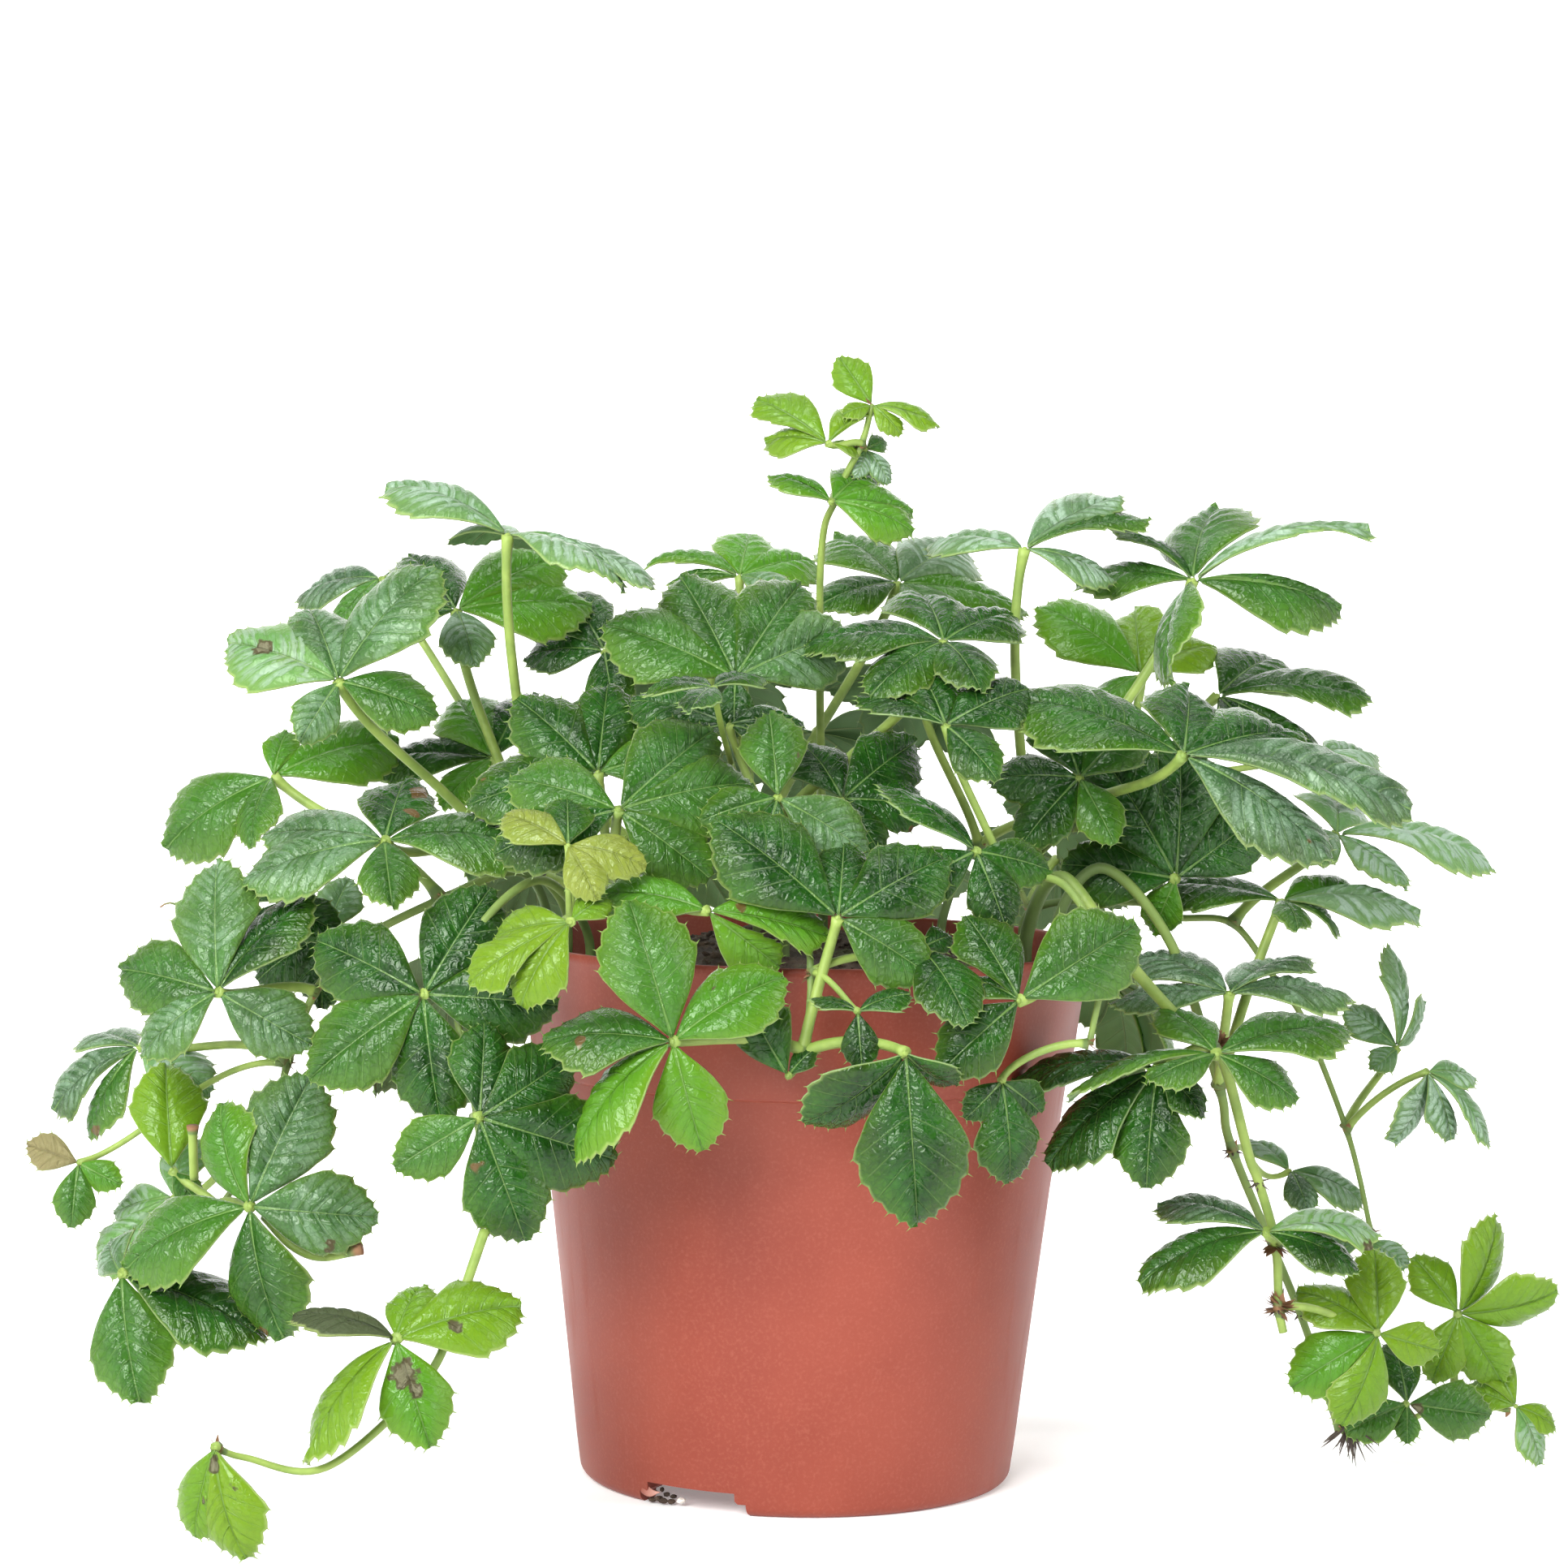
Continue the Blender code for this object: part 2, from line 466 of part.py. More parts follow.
def closed_blade(upper, lower, rows, centre):
    """Faces of a blade: each leaflet is a fan about its midrib point, alike on both sides."""
    shift = len(upper)
    faces = []
    for rib, ring in rows:
        loop = [centre, *ring]
        for k, point in enumerate(loop):
            after = loop[(k + 1) % len(loop)]
            faces.append((rib, point, after))
            faces.append((rib + shift, after + shift, point + shift))
        for point, after in zip(ring, ring[1:]):
            faces.append((point, point + shift, after + shift))
            faces.append((point, after + shift, after))
    return [*upper, *lower], faces


def tube(route, radii, sides):
    """Points and faces of a closed tube along a route."""
    route = [Vector(point) for point in route]
    points, faces = [], []
    reference = Vector((0.31, 0.95, 0.05))
    for k, place in enumerate(route):
        ahead = route[min(k + 1, len(route) - 1)] - route[max(k - 1, 0)]
        first = ahead.cross(reference).normalized()
        second = ahead.cross(first).normalized()
        for step in range(sides):
            angle = math.tau * step / sides
            points.append(place + (first * math.cos(angle) + second * math.sin(angle)) * radii[k])
    for k in range(len(route) - 1):
        for step in range(sides):
            here, after = k * sides + step, k * sides + (step + 1) % sides
            faces.append((here, after, after + sides, here + sides))
    faces.append(tuple(reversed(range(sides))))
    faces.append(tuple(range(len(points) - sides, len(points))))
    return points, faces


def stalk_route(start, hub, facing, tips):
    """A leaf stalk's line from behind the hub to the stem, which it leaves upwards."""
    start, hub = Vector(start), Vector(hub)
    reach = (hub - start).length
    if reach < SHORTEST_STALK:
        return None
    spread = sum((Vector(tip[:3]).normalized() for tip in tips), Vector()) / len(tips)
    straight = (hub - start) / reach
    arrive = facing * ARRIVE_FACING + spread * ARRIVE_SPREAD + straight * ARRIVE_STRAIGHT
    leave = straight + Vector((0, 0, LEAVE_UP))
    first = start + leave.normalized() * reach * BEND
    second = hub - arrive.normalized() * reach * BEND
    route = []
    for step in range(STALK_STEPS, -1, -1):
        t = step / STALK_STEPS
        s = 1 - t
        route.append(start * s ** 3 + first * 3 * s * s * t + second * 3 * s * t * t + hub * t ** 3)
    return route


def back_leaves():
    """Leaves for the far side, each facing outwards with its leaflets hanging."""
    chance = random.Random(BACK_SEED)
    leaves = []
    for shoot_name, point, turn, distance, height in BACK_LEAVES:
        angle = math.radians(turn)
        hub = (distance * math.cos(angle), distance * math.sin(angle), height)
        rise = BACK_RISE + (height - RISE_FROM) * RISE_PER_MM
        rise += chance.uniform(-RISE_STRAY, RISE_STRAY)
        face = (turn + 90 + chance.uniform(-TURN_STRAY, TURN_STRAY), rise)
        leaves.append((shoot_name, point, hub, face, fan_tips(face, chance)))
    return leaves


def fan_tips(face, chance):
    """Four leaflet tips spread about the downhill direction of a leaf."""
    facing = facing_vector(*face)
    downhill = facing_vector(face[0], face[1] - 90)
    swing = chance.uniform(-FAN_SWING, FAN_SWING)
    size = BACK_SIZE * chance.uniform(*FAN_SIZES)
    tips = []
    for angle, share in FAN:
        along = downhill.copy()
        along.rotate(Quaternion(facing, math.radians(angle + swing)))
        tips.append((along - facing * FAN_DROOP).normalized() * size * share)
    return tips


def fuse(items):
    """Join a shoot's stem and its leaves into one solid."""
    target, *others = items
    group = bpy.data.collections.new("pieces")
    bpy.context.scene.collection.children.link(group)
    for item in others:
        bpy.context.scene.collection.objects.unlink(item)
        group.objects.link(item)
    joint = target.modifiers.new("join", "BOOLEAN")
    joint.operation = "UNION"
    joint.operand_type = "COLLECTION"
    joint.collection = group
    joint.solver = "MANIFOLD"
    bpy.context.view_layer.objects.active = target
    bpy.ops.object.modifier_apply(modifier=joint.name)
    for item in list(group.objects):
        bpy.data.objects.remove(item, do_unlink=True)
    bpy.data.collections.remove(group)
    drop_scrap(target.data)
    return target


def drop_scrap(mesh):
    """Keep a mesh's largest connected piece, without the slivers that a union can leave."""
    model = bmesh.new()
    model.from_mesh(mesh)
    waiting = set(model.verts)
    pieces = []
    while waiting:
        piece, front = set(), [next(iter(waiting))]
        while front:
            vertex = front.pop()
            if vertex in waiting:
                waiting.remove(vertex)
                piece.add(vertex)
                front += [edge.other_vert(vertex) for edge in vertex.link_edges]
        pieces.append(piece)
    pieces.sort(key=len)
    scrap = [vertex for piece in pieces[:-1] for vertex in piece]
    bmesh.ops.delete(model, geom=scrap, context="VERTS")
    model.to_mesh(mesh)
    model.free()


def soil_height(x, y):
    """The height of the soil's surface at a place."""
    share = min(1.0, math.hypot(x, y) / SOIL_RADIUS)
    lumps = LUMP_HEIGHT * math.sin(x * 0.21 + 1.0) * math.cos(y * 0.17 + 0.4)
    return SOIL_EDGE + (SOIL_CROWN - SOIL_EDGE) * (1 - share ** 2) + lumps * (1 - share)


def grows_from_soil(name):
    """Whether a shoot starts in the soil, and not on another shoot."""
    return STEMS[name][0][2] > SOIL_EDGE


def stem_route(name):
    """A stem's route; one that grows from the soil starts down in its hole."""
    route = [Vector(point) for point in STEMS[name]]
    if grows_from_soil(name):
        x, y, _ = route[0]
        route.insert(0, Vector((x, y, soil_height(x, y) - HOLE_DEPTH + STEM_SUNK)))
    return route


def stalk_offset(k):
    """A small step aside, so that stalks from one stem point don't share their ends."""
    angle = 2.4 * k
    return Vector((math.cos(angle), math.sin(angle), 0.8 * math.sin(1.7 * k))) * STALK_SPREAD


def shoot(name, leaves):
    """One stem with its leaf stalks and leaves."""
    route = stem_route(name)
    last = len(route) - 1
    size = STEM_RADII.get(name, STEM_RADIUS)
    radii = [size * (STEM_FOOT - STEM_TAPER * k / last) for k in range(last + 1)]
    items = [mesh_object(name, *tube(route, radii, STEM_SIDES))]
    for k, (_, point, hub, face, tips) in enumerate(leaves):
        facing = facing_vector(*face)
        start = Vector(STEMS[name][point]) + stalk_offset(k)
        stalk = stalk_route(start, hub, facing, tips)
        items.append(mesh_object("leaf", *leaf(hub, facing, tips, stalk)))
    finish(fuse(items), LIME if name.startswith("young") else GREEN, LEAF_ROUGHNESS)


def wall_outside(height):
    """The radius of the pot's plain wall at a height."""
    return BASE_RADIUS + WALL_SLOPE * height


def pot_profile():
    """The pot's section: foot, wall, collar, rim, inside wall and floor, as radius and height."""
    collar = POT_HEIGHT - COLLAR_HEIGHT
    foot_inside = BASE_RADIUS - FOOT_WIDTH
    floor = FOOT_HEIGHT + FLOOR
    inside = wall_outside(floor) - WALL
    return [
        (0, FOOT_HEIGHT),
        (foot_inside, FOOT_HEIGHT),
        (foot_inside, 0),
        (BASE_RADIUS, 0),
        (wall_outside(0) + BASE_FLARE + 0.2, 2.2),
        (wall_outside(collar) - 0.1, collar),
        (wall_outside(collar) + COLLAR_STEP, collar + 0.8),
        (RIM_RADIUS - RIM_ROUND / 2, POT_HEIGHT - RIM_ROUND - 0.8),
        (RIM_RADIUS, POT_HEIGHT - RIM_ROUND),
        (RIM_RADIUS - 0.3, POT_HEIGHT - 0.1),
        (RIM_RADIUS - WALL - 0.5, POT_HEIGHT),
        (RIM_RADIUS - WALL - RIM_ROUND, POT_HEIGHT - RIM_ROUND - 0.4),
        (inside, floor + 1.0),
        (inside - FLOOR_FILLET, floor),
        (0, floor),
    ]


def turned(name, profile, sides):
    """A solid of revolution whose section starts and ends on the axis."""
    points, faces = [], []
    middle = profile[1:-1]
    for step in range(sides):
        angle = math.tau * (step + 0.5) / sides
        for radius, height in middle:
            points.append((radius * math.cos(angle), radius * math.sin(angle), height))
    rows = len(middle)
    bottom, top = len(points), len(points) + 1
    points += [(0, 0, profile[0][1]), (0, 0, profile[-1][1])]
    for step in range(sides):
        here, after = step * rows, (step + 1) % sides * rows
        for k in range(rows - 1):
            faces.append((here + k, after + k, after + k + 1, here + k + 1))
        faces.append((bottom, after, here))
        faces.append((top, here + rows - 1, after + rows - 1))
    return mesh_object(name, points, faces)


def box(name, size, place, turn):
    """A box standing at a place, turned about Z."""
    half = [value / 2 for value in size]
    cosine, sine = math.cos(turn), math.sin(turn)
    points = []
    for k in range(8):
        x = half[0] * (1 if k & 1 else -1)
        y = half[1] * (1 if k & 2 else -1)
        z = half[2] * (1 if k & 4 else -1)
        across, ahead = x * cosine - y * sine, x * sine + y * cosine
        points.append((place[0] + across, place[1] + ahead, place[2] + z))
    faces = [(0, 2, 3, 1), (4, 5, 7, 6), (0, 1, 5, 4), (2, 6, 7, 3), (0, 4, 6, 2), (1, 3, 7, 5)]
    return mesh_object(name, points, faces)


def cut(target, cutter):
    """Take a cutter away from a solid."""
    cutter.hide_render = True
    cutter.display_type = "WIRE"
    take = target.modifiers.new(cutter.name, "BOOLEAN")
    take.operation = "DIFFERENCE"
    take.object = cutter
    take.solver = "EXACT"
    bpy.context.view_layer.objects.active = target
    bpy.ops.object.modifier_apply(modifier=take.name)
    bpy.data.objects.remove(cutter, do_unlink=True)


def make_pot():
    """The pot with its foot ring notched for drainage."""
    pot = turned("pot", pot_profile(), POT_SIDES)
    below = 1.0
    size = (DRAIN_LENGTH, DRAIN_WIDTH, DRAIN_HEIGHT + below)
    for k in range(DRAIN_COUNT):
        angle = math.radians(FIRST_DRAIN) + math.tau * k / DRAIN_COUNT
        x, y = DRAIN_REACH * math.cos(angle), DRAIN_REACH * math.sin(angle)
        cut(pot, box("foot_notch", size, (x, y, (DRAIN_HEIGHT - below) / 2), angle))
    finish(pot, TERRACOTTA, POT_ROUGHNESS)


def soil_profile():
    """The soil's section, from its flat underside to its crown."""
    floor = FOOT_HEIGHT + FLOOR + SOIL_GAP

    def inside(height):
        return wall_outside(height) - WALL - SOIL_GAP - SOIL_INSET

    return [
        (0, floor),
        (inside(floor) - FLOOR_FILLET - 0.2, floor),
        (inside(floor + 2), floor + 2),
        (inside(SOIL_EDGE), SOIL_EDGE - 0.5),
        *[(radius, soil_height(radius, 0)) for radius in SOIL_RINGS],
        (0, soil_height(0, 0)),
    ]


def make_soil():
    """The soil that fills the pot, with a plain hole round each stem."""
    soil = turned("soil", soil_profile(), SOIL_SIDES)
    for vertex in soil.data.vertices:
        x, y, z = vertex.co / MM
        if z > SOIL_EDGE + 0.5:
            vertex.co.z = soil_height(x, y) * MM
    for name in STEMS:
        if grows_from_soil(name):
            x, y, _ = STEMS[name][0]
            top = soil_height(x, y)
            line = [(x, y, top - HOLE_DEPTH), (x, y, top + HOLE_DEPTH)]
            radius = STEM_RADII.get(name, STEM_RADIUS) * STEM_FOOT * HOLE_SPARE
            cut(soil, mesh_object("hole", *tube(line, [radius] * 2, HOLE_SIDES)))
    finish(soil, PEAT, SOIL_ROUGHNESS)


def main():
    """Build the pot, the soil and every shoot."""
    clear_scene()
    make_pot()
    make_soil()
    leaves = LEAVES + back_leaves()
    for name in STEMS:
        shoot(name, [leaf for leaf in leaves if leaf[0] == name])


main()
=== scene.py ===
"""Potted grape ivy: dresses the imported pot, soil and shoots with fine leaves, stems and materials.

Run it as a script, or register it and use the Grape Ivy panel in the 3D view's sidebar.
"""

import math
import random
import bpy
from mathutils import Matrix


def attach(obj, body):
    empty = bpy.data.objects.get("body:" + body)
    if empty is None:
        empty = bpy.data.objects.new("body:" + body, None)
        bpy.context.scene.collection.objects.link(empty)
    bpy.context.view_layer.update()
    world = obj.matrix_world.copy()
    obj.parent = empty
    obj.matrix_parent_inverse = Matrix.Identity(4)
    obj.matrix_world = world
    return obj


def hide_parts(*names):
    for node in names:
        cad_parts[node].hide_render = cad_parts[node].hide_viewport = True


bl_info = {
    "name": "Potted Grape Ivy",
    "version": (1, 0, 0),
    "blender": (4, 5, 0),
    "location": "View3D > Sidebar > Grape Ivy",
    "description": "Builds a miniature grape ivy in a nursery pot around its packed solids",
    "category": "Object",
}

import bmesh
import bpy
import numpy as np
from mathutils import Matrix, Quaternion, Vector

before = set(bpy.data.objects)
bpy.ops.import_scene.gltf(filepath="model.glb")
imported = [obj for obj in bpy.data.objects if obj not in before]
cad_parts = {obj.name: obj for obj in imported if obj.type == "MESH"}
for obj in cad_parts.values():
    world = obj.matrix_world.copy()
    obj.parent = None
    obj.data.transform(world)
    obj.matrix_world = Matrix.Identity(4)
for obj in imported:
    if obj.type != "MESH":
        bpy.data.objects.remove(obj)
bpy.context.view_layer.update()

MM = 0.001
TAU = math.tau

# The photograph's camera, in millimetres and in pixels of its square frame
EYE = (-4.8, -893.0, 198.6)
AIM = (-4.8, 0.0, 144.3)
FRAME_PIXELS = 1932
FOCAL_PIXELS = 5300
TILT_DEGREES = 1.0
SENSOR_MM = 36.0

# Pot and soil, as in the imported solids, with the small rounds of the moulding; the wall's swell is
# how far it stands out of a straight taper at a height
POT_HEIGHT = 112.0
RIM_RADIUS = 60.3
RIM_FLARE = 1.3
RIM_ROUND = 0.9
COLLAR_HEIGHT = 27.0
COLLAR_STEP = 0.7
BASE_RADIUS = 43.8
BASE_ROUND = 2.4
WALL_SWELL = [(8, 1.0), (20, 0.75), (40, 0.4), (60, 0.1)]
WALL = 1.3
FOOT_HEIGHT = 5.0
FOOT_WIDTH = 5.0
FLOOR = 1.6
DRAIN_COUNT = 2
DRAIN_WIDTH = 24.5
DRAIN_LENGTH = 15.0
DRAIN_HEIGHT = 4.7
DRAIN_REACH = 41.5
DRAIN_ROUND = 2.2
FIRST_DRAIN = 241.5
SOIL_EDGE = 103.0
SOIL_CROWN = 113.0
SOIL_REACH = 56.0
SOIL_RINGS = 46
CRUMB_COUNT = 900
CRUMB_REACH = 54.0

# Stems, stalks and leaves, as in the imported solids; a leaflet's arch, the drop of its edge and its
# half-width are shares of its length
STEM_RADIUS = 0.95
STEM_RADII = {
    "shoot_right": 1.35, "shoot_right_far": 1.1, "shoot_right_thin": 0.8, "young_right": 0.8,
}
STALK_RADIUS = 0.75
SHORTEST_STALK = 2.0
ARCH = 0.10
EDGE_DROP = 0.07
HALF_WIDTH = 0.31

# Leaflets: the length that full quilting belongs to, how far rows sweep forward towards the edge,
# where the first tooth starts along the midrib, where a tooth peaks within its share of the edge, and
# the columns across
FULL_LENGTH = 28.0
ROW_SWEEP = 0.24
FIRST_TOOTH = 0.27
TOOTH_PEAK = 0.72
HALF_COLUMNS = np.array([0.0, 0.07, 0.25, 0.5, 0.75, 0.93, 1.0])
COLUMNS = np.concatenate([-HALF_COLUMNS[:0:-1], HALF_COLUMNS])

# How a leaf looks by its kind, as three values. The first runs from old and dark to lime; it is partly
# the leaf's age and partly painted light and shade, darker for leaves that lie in shade. The second is a
# painted sheen, a pale bluish-white highlight streaked along the veins, which also gives a few leaves
# the pale look of an underside. The third, wither, runs to yellow and brown
TONES = {
    "deep": (0.0, 0.0, 0.0),
    "dark": (0.14, 0.0, 0.0),
    "mid": (0.30, 0.03, 0.0),
    "bright": (0.50, 0.0, 0.0),
    "fresh": (0.68, 0.0, 0.0),
    "lime": (0.88, 0.0, 0.0),
    "glaze": (0.30, 0.26, 0.0),
    "pale": (0.32, 0.45, 0.0),
    "blue": (0.14, 0.32, 0.0),
    "silver": (0.34, 0.66, 0.0),
    "frost": (0.5, 0.95, 0.0),
    "straw": (0.6, 0.6, 0.1),
    "olive": (0.3, 0.0, 0.4),
    "withered": (0.4, 0.0, 0.85),
    "dry": (0.4, 0.0, 1.4),
}

# Each shoot's stem, from the soil outwards
STEMS = {
    "shoot_left_far": [(-53, -8, 116), (-59, -12, 126), (-74, -22, 121), (-91, -26, 112),
        (-98, -36, 103), (-103, -38, 89), (-107, -40, 74), (-116, -42, 60), (-124, -44, 47)],
    "shoot_left_front": [(-44, -27, 115), (-52, -44, 127), (-62, -56, 121), (-68, -60, 107),
        (-63, -66, 82), (-60, -74, 64)],
    "young_left": [(-60.7, -74.7, 62.1), (-65, -82, 49), (-71, -86, 35), (-89, -90, 19),
        (-104, -92, 21), (-109, -94, 23)],
    "shoot_left_crown": [(-50, 8, 115), (-56, 5, 124), (-64, -4, 128)],
    "shoot_front_left": [(-38, -30, 115), (-39, -44, 126), (-36, -60, 125), (-38, -70, 111)],
    "young_front": [(-38, -18, 117), (-44, -48, 129), (-46, -68, 121)],
    "shoot_front_middle": [(-4, -26, 116), (-3, -40, 127), (-1, -58, 126), (1, -68, 112),
        (0, -72, 97)],
    "shoot_front_right": [(34, -26, 116), (40, -40, 127), (50, -54, 129), (57, -66, 116),
        (55, -68, 99)],
    "shoot_middle": [(-10, 6, 115), (-11, 4, 128)],
    "young_top": [(4, 20, 115), (2, 8, 187), (5, 2, 204), (10, 0, 215), (12, 0, 223)],
    "shoot_right_crown": [(43, 2, 117), (46, 0, 127), (54, -5, 137)],
    "shoot_right": [(45, -26, 117), (51, -38, 129), (63, -46, 114), (74, -40, 102), (82, -38, 95),
        (85, -36, 90), (90, -34, 73), (92, -34, 68), (96, -32, 55), (97, -32, 42), (98, -32, 37)],
    "shoot_right_far": [(52, -12, 118), (61, -14, 129), (75, -14, 114), (86, -12, 84),
        (89, -12, 71), (104, -10, 37), (113, -8, 12)],
    "shoot_right_thin": [(48, 18, 117), (70, 10, 120), (78, 10, 117), (90, 10, 116),
        (99, 10, 105), (105, 10, 97), (110, 10, 86), (115, 8, 73), (118, 8, 63), (121, 10, 51)],
    "young_right": [(112.9, -7.2, 14.7), (127, 6, 11), (139, 8, 15), (151, 6, 14)],
    "shoot_back_left": [(-30, 28, 115), (-38, 44, 128), (-48, 62, 114), (-52, 72, 90)],
    "shoot_back_middle": [(0, 34, 115), (1, 50, 129), (3, 70, 116), (4, 78, 90)],
    "shoot_back_right": [(30, 28, 115), (38, 46, 128), (50, 62, 114), (54, 72, 90)],
}
